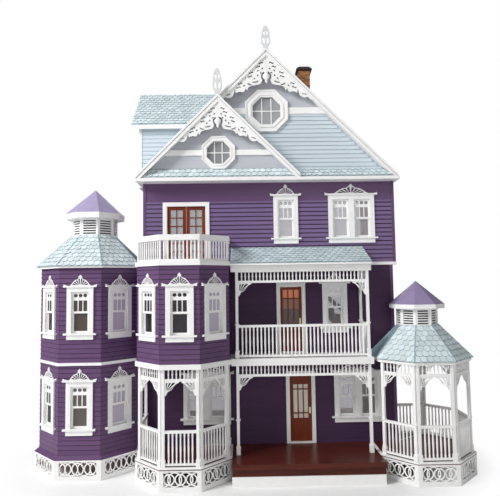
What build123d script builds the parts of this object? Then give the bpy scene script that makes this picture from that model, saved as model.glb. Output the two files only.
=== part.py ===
from build123d import *
import math
import os

os.makedirs("parts", exist_ok=True)

# Overall frame: millimetres, Z up, viewer in front on the minus Y side.
FRONT_Y = -94.5          # plane of the main front wall
BACK_Y = 265.7           # open back of the house
WALL = 8.0               # thickness of every wall sheet
BOARD = 8.0              # thickness of a floor board
FIT = 0.2                # slack round a glued-in piece
RUN = 0.4                # slack round a moving piece
SEAM = 0.25              # glue seam between neighbouring panels

# Heights of the storeys.
BASE_T = 9.0
FLOOR_1 = 54.0
FLOOR_2 = 290.0
FLOOR_3 = 531.5
CEILING_3 = 753.0
ATTIC_T = 8.0
ATTIC = CEILING_3 + ATTIC_T

# Main block, lower two storeys and the wider third storey.
LOWER_L = -295.1
LOWER_R = 396.5
UPPER_L = -277.1
UPPER_R = 406.1
EDGE_STRIP = 3.0         # white edge of the third floor board, proud of the wall

# Octagonal tower at the left, bay at the front, gazebo at the right.
TOWER_A = 127.0          # apothem of the outer wall faces
TOWER_X = LOWER_L - TOWER_A
TOWER_Y = FRONT_Y + 48.1
BAY_X = -160.1
BAY_Y = FRONT_Y - 52.7
BAY_A = 114.0
GAZEBO_X = 442.9
GAZEBO_Y = FRONT_Y - 48.6
GAZEBO_A = 114.8
OCT_TAN = math.tan(math.radians(22.5))

TOWER_TOP = 528.0
TOWER_EAVE_A = 138.4
TOWER_ROOF_TOP = 612.8
TOWER_CUPOLA_A = 56.0
TOWER_CUPOLA_TOP = 660.0
TOWER_BRIM_A = 74.0
TOWER_BRIM_TOP = 675.0
TOWER_APEX = 746.0
GAZEBO_EAVE_A = 120.2
GAZEBO_ROOF_TOP = 364.4
GAZEBO_CUPOLA_A = 48.0
GAZEBO_CUPOLA_TOP = 408.0
GAZEBO_BRIM_A = 64.0
GAZEBO_BRIM_TOP = 419.0
GAZEBO_APEX = 478.0
BALCONY_Z = 523.5
BALCONY_T = 10.0
BALCONY_RAIL_TOP = 597.5

# Gables.
GABLE_X = 61.8
GABLE_TOP = 1120.6
EAVE_RISE = 5.6          # roof edge above the cornice board
GABLE_HALF = GABLE_TOP - ATTIC - EAVE_RISE
SMALL_X = -71.9
SMALL_TOP = GABLE_TOP - (GABLE_X - SMALL_X)
SMALL_HALF = SMALL_TOP - ATTIC - EAVE_RISE
ROOF_T = 12.7            # roof slab, measured straight down
RAKE_OUT = 20.0          # main roof in front of the main gable
SMALL_OUT = 34.0         # small gable roof in front of the main gable
SMALL_WALL_OUT = 14.0    # small gable wall in front of the main gable
CORNICE_OUT = 38.0
RAKE_W = 17.0            # rake board, measured straight down
RAKE_T = 4.0
PENT_H = 27.0            # strip of roof along the foot of both gables
PENT_LIP = 3.0
EAVE_L = GABLE_X - GABLE_HALF
EAVE_R = GABLE_X + GABLE_HALF
EAVE_Z = GABLE_TOP - GABLE_HALF

# One window size for the whole house, heights above the floor of the room.
WIN_OPEN_W = 44.0
WIN_OPEN_H = 104.0
WIN_SILL = 68.5
WIN_CASING = 11.5
WIN_CASING_T = 5.0
WIN_LINER = 3.0
WIN_MULLION = 15.0
SILL_T = 4.5
SILL_OUT = 8.2
SILL_EAR = 7.5
SHELF_EAR = 8.5
SHELF_T = 4.0
APRON_H = 11.5
CROWN_H = 24.5
CROWN_T = 3.0
SASH_T = 3.0
SASH_GAP = 0.2
SASH_H = 54.0
SASH_STILE = 5.0
SASH_LIFT = 46.0
PANE_T = 0.8
WIN_TOP = WIN_SILL + WIN_OPEN_H

# Doors.
DOOR_FRAME_W = 78.0
DOOR_JAMB = 10.0
DOOR_TOP = 188.0         # top of the frame above the floor
DOOR_HEAD = 11.0
DOOR_LINER = 3.0
SILL_H = 4.0             # threshold
LEAF_T = 6.0
PIN_R = 1.0
PIN_L = 2.4
PIN_FIT = 0.05
FRENCH_FRAME_W = 126.5
FRENCH_TOP = 169.3
CASING_T = 4.0
FRONT_DOOR_X = 140.5
UPPER_DOOR_X = 119.3
FRENCH_X = -162.0

# Porch.
DECK_T = 13.0
OCT_OUT = 5.0            # octagon boards past the post line
DECK_L = BAY_X + BAY_A + OCT_OUT + SEAM
DECK_R = GAZEBO_X - GAZEBO_A - OCT_OUT - SEAM
DECK_OUT = 157.0
RISER_OUT = 150.0
PORCH_BASE_OUT = 152.0
PORCH_BASE_H = 24.0
POST_OUT = 85.2
POST_L = -25.7
POST_R = 306.5
POST = 7.0
POST_FOOT = 10.0
POST_FOOT_H = 16.0
PORCH_FLOOR_Z = 272.5
PORCH_FLOOR_OUT = 95.0
PORCH_BEAM_Z = 507.0
PORCH_EAVE_Z = 523.5
PORCH_ROOF_OUT = 103.0
PORCH_ROOF_BACK_Z = 568.0
PORCH_ROOF_T = 7.0

# Railings, friezes and lattice skirts, all cut from thin sheet.
SHEET = 4.0
RAIL_H = 83.0
RAIL_CAP = 8.0
BAR = 4.0
FRIEZE_TOP = 278.0
FRIEZE_H = 28.0
FRIEZE_RAIL = 6.0
FRIEZE_SLOT = 21.0
BRACKET = 34.0
OCT_DECK_T = 5.0
SKIRT_H = FLOOR_1 - OCT_DECK_T
SKIRT_T = 4.0
TOWER_SKIRT_OUT = 12.3
BAY_SKIRT_OUT = 4.5
GAZEBO_SKIRT_OUT = 4.8
LATTICE_W = 82.0
LATTICE_H = 30.0
LATTICE_Z = 14.0
LATTICE_BAR = 3.0

# Which octagon faces carry walls, screens and skirts (degrees of the outward normal).
TOWER_FACES = (0, 45, 135, 180, 225, 270, 315)
TOWER_SKIRT_FACES = (45, 135, 180, 225, 270, 315)
BAY_FACES = (180, 225, 270, 315, 0)
GAZEBO_FACES = (225, 270, 315, 0, 45, 90)
WINDOW_FACES = (225, 270, 315)


def face_plane(cx, cy, apothem, turn, z):
    """Plane on one octagon face: local x along it, local y up, normal outward."""
    n = (math.cos(math.radians(turn)), math.sin(math.radians(turn)))
    return Plane(
        origin=(cx + apothem * n[0], cy + apothem * n[1], z),
        x_dir=(-n[1], n[0], 0),
        z_dir=(n[0], n[1], 0),
    )


def wall_plane(x, z):
    """Plane on the main front wall, normal toward the viewer."""
    return Plane(origin=(x, FRONT_Y, z), x_dir=(1, 0, 0), z_dir=(0, -1, 0))


def panel_plan(cx, cy, apothem, turn, thick, back=None):
    """Plan outline of one mitred octagon panel; a side panel can run back to a wall."""
    t = math.radians(turn)
    n = (math.cos(t), math.sin(t))
    s = (-n[1], n[0])
    pts = []
    for a, sign in ((apothem, 1), (apothem, -1), (apothem - thick, -1), (apothem - thick, 1)):
        half = sign * (a * OCT_TAN - SEAM / 2)
        y = cy + a * n[1] + half * s[1]
        if back is not None and turn in (0, 180) and y > cy:
            y = back
        pts.append((cx + a * n[0] + half * s[0], y))
    return pts


def octagon(cx, cy, apothem):
    """Eight corner points of an octagon with a face square to the viewer."""
    r = apothem / math.cos(math.radians(22.5))
    return [
        (
            cx + r * math.cos(math.radians(22.5 + 45 * k)),
            cy + r * math.sin(math.radians(22.5 + 45 * k)),
        )
        for k in range(8)
    ]


# Window places: name, plane at floor height, and number of lights side by side.
THIRD_X = 109.7
UPPER_PORCH_X = 237.8
THIRD_PAIR_X = 289.3
PORCH_PAIR_X = 293.4
BAY_PAIR_X = -108.7
WINDOWS = []
for storey, level in (("ground", FLOOR_1), ("upper", FLOOR_2)):
    for side, turn in zip(("left", "front", "right"), WINDOW_FACES):
        WINDOWS.append(
            (f"tower_{storey}_{side}", face_plane(TOWER_X, TOWER_Y, TOWER_A, turn, level), 1)
        )
for side, turn in zip(("left", "front", "right"), WINDOW_FACES):
    WINDOWS.append((f"bay_{side}", face_plane(BAY_X, BAY_Y, BAY_A, turn, FLOOR_2), 1))
WINDOWS.append(("third_floor", wall_plane(THIRD_X, FLOOR_3), 1))
WINDOWS.append(("upper_porch", wall_plane(UPPER_PORCH_X, FLOOR_2), 1))
WINDOWS.append(("third_floor_pair", wall_plane(THIRD_PAIR_X, FLOOR_3), 2))
WINDOWS.append(("porch_pair", wall_plane(PORCH_PAIR_X, FLOOR_1), 2))
WINDOWS.append(("bay_porch_pair", wall_plane(BAY_PAIR_X, FLOOR_1), 2))
SINGLES = [w for w in WINDOWS if w[2] == 1]
PAIR_SHIFT = (WIN_OPEN_W + WIN_MULLION) / 2
PAIR_W = 2 * WIN_OPEN_W + WIN_MULLION


def unit_width(count):
    """Clear width of a window unit with one or two lights."""
    return WIN_OPEN_W if count == 1 else PAIR_W


HOLE_W = WIN_OPEN_W + 2 * WIN_LINER + 2 * FIT
HOLE_H = WIN_OPEN_H + 2 * WIN_LINER + 2 * FIT
HOLE_Z = WIN_SILL + WIN_OPEN_H / 2
DOOR_HOLE_W = DOOR_FRAME_W - 2 * DOOR_JAMB + 2 * DOOR_LINER + 2 * FIT
DOOR_HOLE_H = DOOR_TOP - DOOR_HEAD + DOOR_LINER + FIT
FRENCH_HOLE_W = FRENCH_FRAME_W - 2 * DOOR_HEAD + 2 * DOOR_LINER + 2 * FIT
FRENCH_HOLE_H = FRENCH_TOP - DOOR_HEAD + DOOR_LINER + FIT
BAY_ROOM_W = 190.0
BAY_ROOM_H = 200.0

# Base tray under the main block, closed by the ground floor board.
BASE_H = FLOOR_1 - BOARD
TRAY_RIM = 12.0
with BuildPart() as foundation:
    with BuildSketch(Plane.XY):
        with BuildLine():
            Polyline(
                (LOWER_L, FRONT_Y), (LOWER_R, FRONT_Y), (LOWER_R, BACK_Y), (LOWER_L, BACK_Y),
                close=True,
            )
        make_face()
    extrude(amount=BASE_H)
    with BuildSketch(Plane.XY.offset(BASE_T)):
        with BuildLine():
            Polyline(
                (LOWER_L + TRAY_RIM, FRONT_Y + TRAY_RIM), (LOWER_R - TRAY_RIM, FRONT_Y + TRAY_RIM),
                (LOWER_R - TRAY_RIM, BACK_Y - TRAY_RIM), (LOWER_L + TRAY_RIM, BACK_Y - TRAY_RIM),
                close=True,
            )
        make_face()
    extrude(amount=BASE_H, mode=Mode.SUBTRACT)
foundation.part.label = "foundation"
export_step(foundation.part, "parts/foundation.step")

# Floors of the main block and of the tower.
STAIR_W = 62.0
STAIR_RUN = 200.0
STAIR_X = 330.0          # foot of the flight, which climbs toward the left
STAIR_Y = FRONT_Y + 60.0
STAIR_STEPS = 12
with BuildPart() as floor_boards:
    with BuildSketch(Plane.XY.offset(FLOOR_1 - BOARD)):
        with BuildLine():
            Polyline(
                (LOWER_L, FRONT_Y), (LOWER_R, FRONT_Y), (LOWER_R, BACK_Y), (LOWER_L, BACK_Y),
                close=True,
            )
        make_face()
    extrude(amount=BOARD)
    with BuildSketch(Plane.XY.offset(FLOOR_2 - BOARD)):
        with BuildLine():
            Polyline(
                (LOWER_L + WALL, FRONT_Y + WALL), (LOWER_R - WALL, FRONT_Y + WALL),
                (LOWER_R - WALL, BACK_Y), (LOWER_L + WALL, BACK_Y),
                close=True,
            )
        make_face()
    extrude(amount=BOARD)
    with BuildSketch(Plane.XY.offset(FLOOR_3 - BOARD)):
        with BuildLine():
            Polyline(
                (LOWER_L, FRONT_Y - EDGE_STRIP), (UPPER_R + EDGE_STRIP, FRONT_Y - EDGE_STRIP),
                (UPPER_R + EDGE_STRIP, BACK_Y), (LOWER_L, BACK_Y),
                close=True,
            )
        make_face()
        with Locations((STAIR_X - STAIR_RUN / 2, STAIR_Y + STAIR_W / 2)):
            Rectangle(STAIR_RUN, STAIR_W + 2 * RUN, mode=Mode.SUBTRACT)
    extrude(amount=BOARD)
    for level in (FLOOR_1, FLOOR_2):
        with BuildSketch(Plane.XY.offset(level - BOARD)):
            with BuildLine():
                Polyline(*octagon(TOWER_X, TOWER_Y, TOWER_A - WALL - FIT), close=True)
            make_face()
        extrude(amount=BOARD)
floor_boards.part.label = "floor_boards"
export_step(floor_boards.part, "parts/floor_boards.step")

# Cornice board: attic floor that runs out past the walls as the white cornice.
with BuildPart() as cornice_board:
    with BuildSketch(Plane.XY.offset(CEILING_3)):
        with BuildLine():
            Polyline(
                (EAVE_L, FRONT_Y - CORNICE_OUT), (EAVE_R, FRONT_Y - CORNICE_OUT),
                (EAVE_R, BACK_Y), (EAVE_L, BACK_Y),
                close=True,
            )
        make_face()
    extrude(amount=ATTIC_T)
cornice_board.part.label = "cornice_board"
export_step(cornice_board.part, "parts/cornice_board.step")

# Front wall of the two lower storeys, with doors, windows and the bay room opening.
LOWER_H = FLOOR_3 - BOARD - FLOOR_1
with BuildPart() as lower_front_wall:
    with BuildSketch(wall_plane(0, FLOOR_1)):
        with BuildLine():
            Polyline(
                (LOWER_L, 0), (LOWER_R, 0), (LOWER_R, LOWER_H), (LOWER_L, LOWER_H), close=True
            )
        make_face()
    extrude(amount=-WALL)
    with BuildSketch(wall_plane(0, FLOOR_1)):
        with Locations((FRONT_DOOR_X, DOOR_HOLE_H / 2)):
            Rectangle(DOOR_HOLE_W, DOOR_HOLE_H)
        with Locations((UPPER_DOOR_X, FLOOR_2 - FLOOR_1 + DOOR_HOLE_H / 2)):
            Rectangle(DOOR_HOLE_W, DOOR_HOLE_H)
        with Locations((BAY_X, FLOOR_2 - FLOOR_1 + BAY_ROOM_H / 2)):
            Rectangle(BAY_ROOM_W, BAY_ROOM_H)
    extrude(amount=-WALL, mode=Mode.SUBTRACT)
    for name, plane, count in WINDOWS:
        if name in ("upper_porch", "porch_pair", "bay_porch_pair"):
            with BuildSketch(plane):
                with Locations((0, HOLE_Z)):
                    Rectangle(unit_width(count) - WIN_OPEN_W + HOLE_W, HOLE_H)
            extrude(amount=-WALL, mode=Mode.SUBTRACT)
lower_front_wall.part.label = "lower_front_wall"
export_step(lower_front_wall.part, "parts/lower_front_wall.step")

# Front wall of the third storey.
UPPER_H = CEILING_3 - FLOOR_3
with BuildPart() as upper_front_wall:
    with BuildSketch(wall_plane(0, FLOOR_3)):
        with BuildLine():
            Polyline(
                (UPPER_L, 0), (UPPER_R, 0), (UPPER_R, UPPER_H), (UPPER_L, UPPER_H), close=True
            )
        make_face()
        with Locations((FRENCH_X, FRENCH_HOLE_H / 2)):
            Rectangle(FRENCH_HOLE_W, FRENCH_HOLE_H, mode=Mode.SUBTRACT)
    extrude(amount=-WALL)
    for name, plane, count in WINDOWS:
        if name in ("third_floor", "third_floor_pair"):
            with BuildSketch(plane):
                with Locations((0, HOLE_Z)):
                    Rectangle(unit_width(count) - WIN_OPEN_W + HOLE_W, HOLE_H)
            extrude(amount=-WALL, mode=Mode.SUBTRACT)
upper_front_wall.part.label = "upper_front_wall"
export_step(upper_front_wall.part, "parts/upper_front_wall.step")

# Side walls of the main block: two below, two on the third storey.
with BuildPart() as side_walls:
    for x0, low, high in (
        (LOWER_L, FLOOR_1, FLOOR_3 - BOARD),
        (LOWER_R - WALL, FLOOR_1, FLOOR_3 - BOARD),
        (UPPER_L, FLOOR_3, CEILING_3),
        (UPPER_R - WALL, FLOOR_3, CEILING_3),
    ):
        with BuildSketch(Plane.XY.offset(low)):
            with BuildLine():
                Polyline(
                    (x0, FRONT_Y + WALL), (x0 + WALL, FRONT_Y + WALL),
                    (x0 + WALL, BACK_Y), (x0, BACK_Y),
                    close=True,
                )
            make_face()
        extrude(amount=high - low)
side_walls.part.label = "side_walls"
export_step(side_walls.part, "parts/side_walls.step")

# Stair flight from the second to the third floor, with a sloping hand rail.
STAIR_RISE = (FLOOR_3 - BOARD - FLOOR_2) / STAIR_STEPS
STAIR_GOING = STAIR_RUN / STAIR_STEPS
STAIR_SLAB = 16.0
STAIR_RAIL = 7.0
STAIR_RAIL_UP = 70.0
STAIR_PLANE = Plane(origin=(0, STAIR_Y, 0), x_dir=(1, 0, 0), z_dir=(0, -1, 0))
STAIR_TOP_X = STAIR_X - STAIR_RUN
with BuildPart() as staircase:
    with BuildSketch(STAIR_PLANE):
        profile = [(STAIR_X, FLOOR_2)]
        for k in range(STAIR_STEPS):
            profile.append((STAIR_X - k * STAIR_GOING, FLOOR_2 + (k + 1) * STAIR_RISE))
            profile.append((STAIR_X - (k + 1) * STAIR_GOING, FLOOR_2 + (k + 1) * STAIR_RISE))
        profile.append((STAIR_TOP_X, FLOOR_3 - BOARD - STAIR_RISE - STAIR_SLAB))
        profile.append((STAIR_X - STAIR_SLAB, FLOOR_2))
        with BuildLine():
            Polyline(*profile, close=True)
        make_face()
    extrude(amount=-STAIR_W)
    with BuildSketch(STAIR_PLANE):
        rail = [
            (STAIR_X, FLOOR_2 + STAIR_RAIL_UP),
            (STAIR_TOP_X + STAIR_RAIL, FLOOR_3 - 2 * BOARD),
            (STAIR_TOP_X + STAIR_RAIL, FLOOR_3 - 2 * BOARD - 2 * STAIR_RAIL),
            (STAIR_X, FLOOR_2 + STAIR_RAIL_UP - 2 * STAIR_RAIL),
        ]
        with BuildLine():
            Polyline(*rail, close=True)
        make_face()
        with Locations((STAIR_X - STAIR_RAIL / 2, FLOOR_2 + STAIR_RAIL_UP / 2 - STAIR_RAIL / 2)):
            Rectangle(STAIR_RAIL, STAIR_RAIL_UP - STAIR_RAIL)
    extrude(amount=-STAIR_RAIL)
staircase.part.label = "staircase"
export_step(staircase.part, "parts/staircase.step")

# Outlines of the roof in the gable plane.
UNDER_TOP = GABLE_TOP - ROOF_T
UNDER_HALF = UNDER_TOP - ATTIC
SMALL_UNDER_TOP = SMALL_TOP - ROOF_T
SMALL_R = SMALL_X + SMALL_HALF
NOTCH = ROOF_T / 2
OCT_BIG_RISE = 12.7      # middle of the window above half the height of the gable
OCT_BIG_Z = (GABLE_TOP + ATTIC) / 2 + OCT_BIG_RISE
OCT_BIG_A = 59.0
OCT_BIG_IN = 38.6
OCT_SMALL_Z = 834.0
OCT_SMALL_A = 45.0
OCT_SMALL_IN = 31.0
OCT_LINER = 3.0
GABLE_FACE = Plane(origin=(0, FRONT_Y, 0), x_dir=(1, 0, 0), z_dir=(0, -1, 0))

with BuildPart() as gable_walls:
    with BuildSketch(GABLE_FACE):
        with BuildLine():
            Polyline(
                (GABLE_X - UNDER_HALF, ATTIC), (GABLE_X + UNDER_HALF, ATTIC),
                (GABLE_X, UNDER_TOP), close=True,
            )
        make_face()
        with BuildLine():
            Polyline(*octagon(GABLE_X, OCT_BIG_Z, OCT_BIG_IN + OCT_LINER + FIT), close=True)
        make_face(mode=Mode.SUBTRACT)
    extrude(amount=-WALL)
    with BuildSketch(GABLE_FACE.offset(SMALL_WALL_OUT)):
        with BuildLine():
            Polyline(
                (SMALL_X - (SMALL_UNDER_TOP - ATTIC), ATTIC),
                (SMALL_X + (SMALL_UNDER_TOP - ATTIC), ATTIC),
                (SMALL_X, SMALL_UNDER_TOP), close=True,
            )
        make_face()
        with BuildLine():
            Polyline(*octagon(SMALL_X, OCT_SMALL_Z, OCT_SMALL_IN + OCT_LINER + FIT), close=True)
        make_face(mode=Mode.SUBTRACT)
    extrude(amount=-WALL)
gable_walls.part.label = "gable_walls"
export_step(gable_walls.part, "parts/gable_walls.step")

# Main roof: two slabs with a seam along the ridge.
with BuildPart() as main_roof:
    for side in (-1, 1):
        with BuildSketch(GABLE_FACE.offset(RAKE_OUT)):
            ridge = GABLE_X + side * SEAM / 2
            with BuildLine():
                Polyline(
                    (ridge, GABLE_TOP - SEAM / 2), (GABLE_X + side * GABLE_HALF, EAVE_Z),
                    (GABLE_X + side * GABLE_HALF, ATTIC), (GABLE_X + side * UNDER_HALF, ATTIC),
                    (ridge, UNDER_TOP - SEAM / 2), close=True,
                )
            make_face()
        extrude(amount=-(RAKE_OUT + BACK_Y - FRONT_Y))
main_roof.part.label = "main_roof"
export_step(main_roof.part, "parts/main_roof.step")

# Small gable roof: its left slope carries on the main left slope.
with BuildPart() as small_gable_roof:
    with BuildSketch(GABLE_FACE.offset(SMALL_OUT)):
        with BuildLine():
            Polyline(
                (SMALL_X, SMALL_TOP), (EAVE_L, EAVE_Z), (EAVE_L, ATTIC),
                (GABLE_X - UNDER_HALF, ATTIC), (SMALL_X, SMALL_UNDER_TOP),
                (SMALL_X + NOTCH, SMALL_TOP - NOTCH), close=True,
            )
        make_face()
    extrude(amount=-(SMALL_OUT - RAKE_OUT))
    with BuildSketch(GABLE_FACE.offset(SMALL_OUT)):
        with BuildLine():
            Polyline(
                (SMALL_X + SEAM, SMALL_UNDER_TOP - SEAM),
                (SMALL_X + NOTCH + SEAM, SMALL_TOP - NOTCH - SEAM),
                (SMALL_R, SMALL_TOP - SMALL_HALF), (SMALL_R, ATTIC),
                (SMALL_X + (SMALL_UNDER_TOP - ATTIC), ATTIC), close=True,
            )
        make_face()
    extrude(amount=-SMALL_OUT)
small_gable_roof.part.label = "small_gable_roof"
export_step(small_gable_roof.part, "parts/small_gable_roof.step")

# Strip of shingled roof along the foot of both gables.
PENT_OUT = RAKE_OUT + RAKE_T + PENT_LIP
with BuildPart() as pent_roof:
    for x0, x1, out, back in (
        (EAVE_L, SMALL_R, SMALL_OUT, SMALL_WALL_OUT),
        (SMALL_R + SEAM, EAVE_R, PENT_OUT, 0),
    ):
        with BuildSketch(Plane.YZ.offset(x0)):
            with BuildLine():
                Polyline(
                    (FRONT_Y - out, ATTIC), (FRONT_Y - out, ATTIC + PENT_LIP),
                    (FRONT_Y - back, ATTIC + PENT_H), (FRONT_Y - back, ATTIC), close=True,
                )
            make_face()
        extrude(amount=x1 - x0)
    with BuildSketch(GABLE_FACE.offset(CORNICE_OUT)):
        with BuildLine():
            Polyline(
                (EAVE_L - WALL, ATTIC), (GABLE_X - (GABLE_TOP - RAKE_W - ATTIC), ATTIC),
                (SMALL_X, SMALL_TOP - RAKE_W),
                (SMALL_X + (SMALL_TOP - RAKE_W - ATTIC), ATTIC),
                (SMALL_R + SEAM, ATTIC), (SMALL_R + SEAM, GABLE_TOP), (EAVE_L - WALL, GABLE_TOP),
                close=True,
            )
        make_face()
        with BuildLine():
            Polyline(
                (GABLE_X + (GABLE_TOP - RAKE_W - ATTIC), ATTIC), (EAVE_R + WALL, ATTIC),
                (EAVE_R + WALL, GABLE_TOP), (GABLE_X, GABLE_TOP), (GABLE_X, GABLE_TOP - RAKE_W),
                close=True,
            )
        make_face()
    extrude(amount=-CORNICE_OUT, mode=Mode.SUBTRACT)
pent_roof.part.label = "pent_roof"
export_step(pent_roof.part, "parts/pent_roof.step")

# White trim of the gables: rake boards in front of the roof ends and belt bands.
BAND_T = 3.0
BAND_BIG = 18.0
BAND_SMALL = 15.0
with BuildPart() as gable_trim:
    with BuildSketch(GABLE_FACE.offset(RAKE_OUT)):
        left_end = SMALL_X + RAKE_W / 2 + SEAM
        left_z = GABLE_TOP - (GABLE_X - left_end)
        with BuildLine():
            Polyline(
                (GABLE_X, GABLE_TOP), (EAVE_R, EAVE_Z), (EAVE_R, ATTIC),
                (GABLE_X + (GABLE_TOP - RAKE_W - ATTIC), ATTIC), (GABLE_X, GABLE_TOP - RAKE_W),
                close=True,
            )
        make_face()
        with BuildLine():
            Polyline(
                (GABLE_X - SEAM, GABLE_TOP - SEAM), (GABLE_X - SEAM, GABLE_TOP - SEAM - RAKE_W),
                (left_end, left_z - RAKE_W), (left_end, left_z), close=True,
            )
        make_face()
    extrude(amount=RAKE_T)
    with BuildSketch(GABLE_FACE.offset(SMALL_OUT)):
        with BuildLine():
            Polyline(
                (SMALL_X, SMALL_TOP), (SMALL_R, SMALL_TOP - SMALL_HALF), (SMALL_R, ATTIC),
                (SMALL_X + (SMALL_TOP - RAKE_W - ATTIC), ATTIC), (SMALL_X, SMALL_TOP - RAKE_W),
                close=True,
            )
        make_face()
        with BuildLine():
            Polyline(
                (SMALL_X - SEAM, SMALL_TOP - SEAM), (SMALL_X - SEAM, SMALL_TOP - SEAM - RAKE_W),
                (SMALL_X - (SMALL_TOP - RAKE_W - ATTIC), ATTIC), (EAVE_L, ATTIC), (EAVE_L, EAVE_Z),
                close=True,
            )
        make_face()
    extrude(amount=RAKE_T)
    big_low = OCT_BIG_Z - BAND_BIG / 2
    big_high = OCT_BIG_Z + BAND_BIG / 2
    small_low = OCT_SMALL_Z - BAND_SMALL / 2
    small_high = OCT_SMALL_Z + BAND_SMALL / 2
    big_in = OCT_BIG_A + SEAM
    small_in = OCT_SMALL_A + SEAM
    small_face = GABLE_FACE.offset(SMALL_WALL_OUT)
    over_small = SMALL_X + SMALL_TOP + SEAM
    for face, inner, low, high, low_end, high_end in (
        (
            GABLE_FACE, GABLE_X + big_in, big_low, big_high,
            GABLE_X + UNDER_TOP - big_low, GABLE_X + UNDER_TOP - big_high,
        ),
        (
            GABLE_FACE, GABLE_X - big_in, big_low, big_high,
            max(over_small - big_low, GABLE_X - UNDER_TOP + big_low),
            max(over_small - big_high, GABLE_X - UNDER_TOP + big_high),
        ),
        (
            small_face, SMALL_X + small_in, small_low, small_high,
            SMALL_X + SMALL_UNDER_TOP - small_low, SMALL_X + SMALL_UNDER_TOP - small_high,
        ),
        (
            small_face, SMALL_X - small_in, small_low, small_high,
            SMALL_X - SMALL_UNDER_TOP + small_low, SMALL_X - SMALL_UNDER_TOP + small_high,
        ),
    ):
        with BuildSketch(face):
            with BuildLine():
                Polyline((inner, low), (low_end, low), (high_end, high), (inner, high), close=True)
            make_face()
        extrude(amount=BAND_T)
gable_trim.part.label = "gable_trim"
export_step(gable_trim.part, "parts/gable_trim.step")

# Pierced fretwork hanging under the peak of each gable, in shares of its own size.
FRET_T = 2.5
FRET_BIG = 112.0
FRET_SMALL = 104.0
FRET_EDGE = (
    (0.0, 0.75), (0.17, 0.78), (0.34, 0.88), (0.59, 0.96), (0.76, 1.08), (0.97, 1.12),
)
FRET_HOLES = (
    (0.10, 0.36, 0.030), (0.12, 0.50, 0.036), (0.26, 0.50, 0.034), (0.27, 0.64, 0.040),
    (0.42, 0.66, 0.034), (0.41, 0.79, 0.038), (0.57, 0.80, 0.032), (0.70, 0.92, 0.032),
    (0.84, 1.04, 0.028), (0.14, 0.65, 0.032),
)
FRET_LOBE = 0.05
FRET_LONG = 1.7
FRET_SHORT = 0.8
FRET_TURN = 45.0
with BuildPart() as gable_fretwork:
    for gx, under, size, out in (
        (GABLE_X, UNDER_TOP, FRET_BIG, RAKE_OUT),
        (SMALL_X, SMALL_UNDER_TOP, FRET_SMALL, SMALL_OUT),
    ):
        with BuildSketch(GABLE_FACE.offset(out)):
            right = [(gx + u * size, under + ROOF_T - w * size) for u, w in FRET_EDGE]
            left = [(gx - u * size, under + ROOF_T - w * size) for u, w in FRET_EDGE]
            with BuildLine():
                Polyline(
                    (gx, under), (gx + size, under - size), *reversed(right),
                    *left[1:], (gx - size, under - size), close=True,
                )
            make_face()
            for u, w in FRET_EDGE[:-1]:
                for side in (-1, 1):
                    with Locations((gx + side * u * size, under + ROOF_T - w * size)):
                        Circle(FRET_LOBE * size)
            for u, w, r in FRET_HOLES:
                for side in (-1, 1):
                    with Locations(
                        Location((gx + side * u * size, under + ROOF_T - w * size), side * FRET_TURN)
                    ):
                        Ellipse(FRET_LONG * r * size, FRET_SHORT * r * size, mode=Mode.SUBTRACT)
            with Locations((gx, under - size / 2)):
                Rectangle(SEAM, 2 * size, mode=Mode.SUBTRACT)
        extrude(amount=-FRET_T)
gable_fretwork.part.label = "gable_fretwork"
export_step(gable_fretwork.part, "parts/gable_fretwork.step")

# Openwork finials standing on the peaks.
FINIAL_T = RAKE_T
FINIAL_W = 13.0          # half width
FINIAL_FOOT = 8.0
FINIAL_BIG = 66.0
FINIAL_SMALL = 74.0
FINIAL_HOLES = ((0.42, 0.38, 0.24, 0.14), (0.32, 0.70, 0.18, 0.10))
FINIAL_EDGE = ((0.45, 0.08), (1.0, 0.30), (0.92, 0.62), (0.62, 0.86), (0.25, 1.0))
with BuildPart() as finials:
    for gx, top, tall, out in (
        (GABLE_X, GABLE_TOP, FINIAL_BIG, RAKE_OUT),
        (SMALL_X, SMALL_TOP, FINIAL_SMALL, SMALL_OUT),
    ):
        with BuildSketch(GABLE_FACE.offset(out)):
            right = [(gx + u * FINIAL_W, top + w * tall) for u, w in FINIAL_EDGE]
            left = [(gx - u * FINIAL_W, top + w * tall) for u, w in FINIAL_EDGE]
            with BuildLine():
                Polyline(
                    (gx, top), (gx + FINIAL_FOOT, top - FINIAL_FOOT), *right,
                    *reversed(left), (gx - FINIAL_FOOT, top - FINIAL_FOOT), close=True,
                )
            make_face()
            for side in (-1, 1):
                for u, w, half, high in FINIAL_HOLES:
                    with Locations((gx + side * u * FINIAL_W, top + w * tall)):
                        Ellipse(half * FINIAL_W, high * tall, mode=Mode.SUBTRACT)
        extrude(amount=FINIAL_T)
finials.part.label = "finials"
export_step(finials.part, "parts/finials.step")

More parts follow.
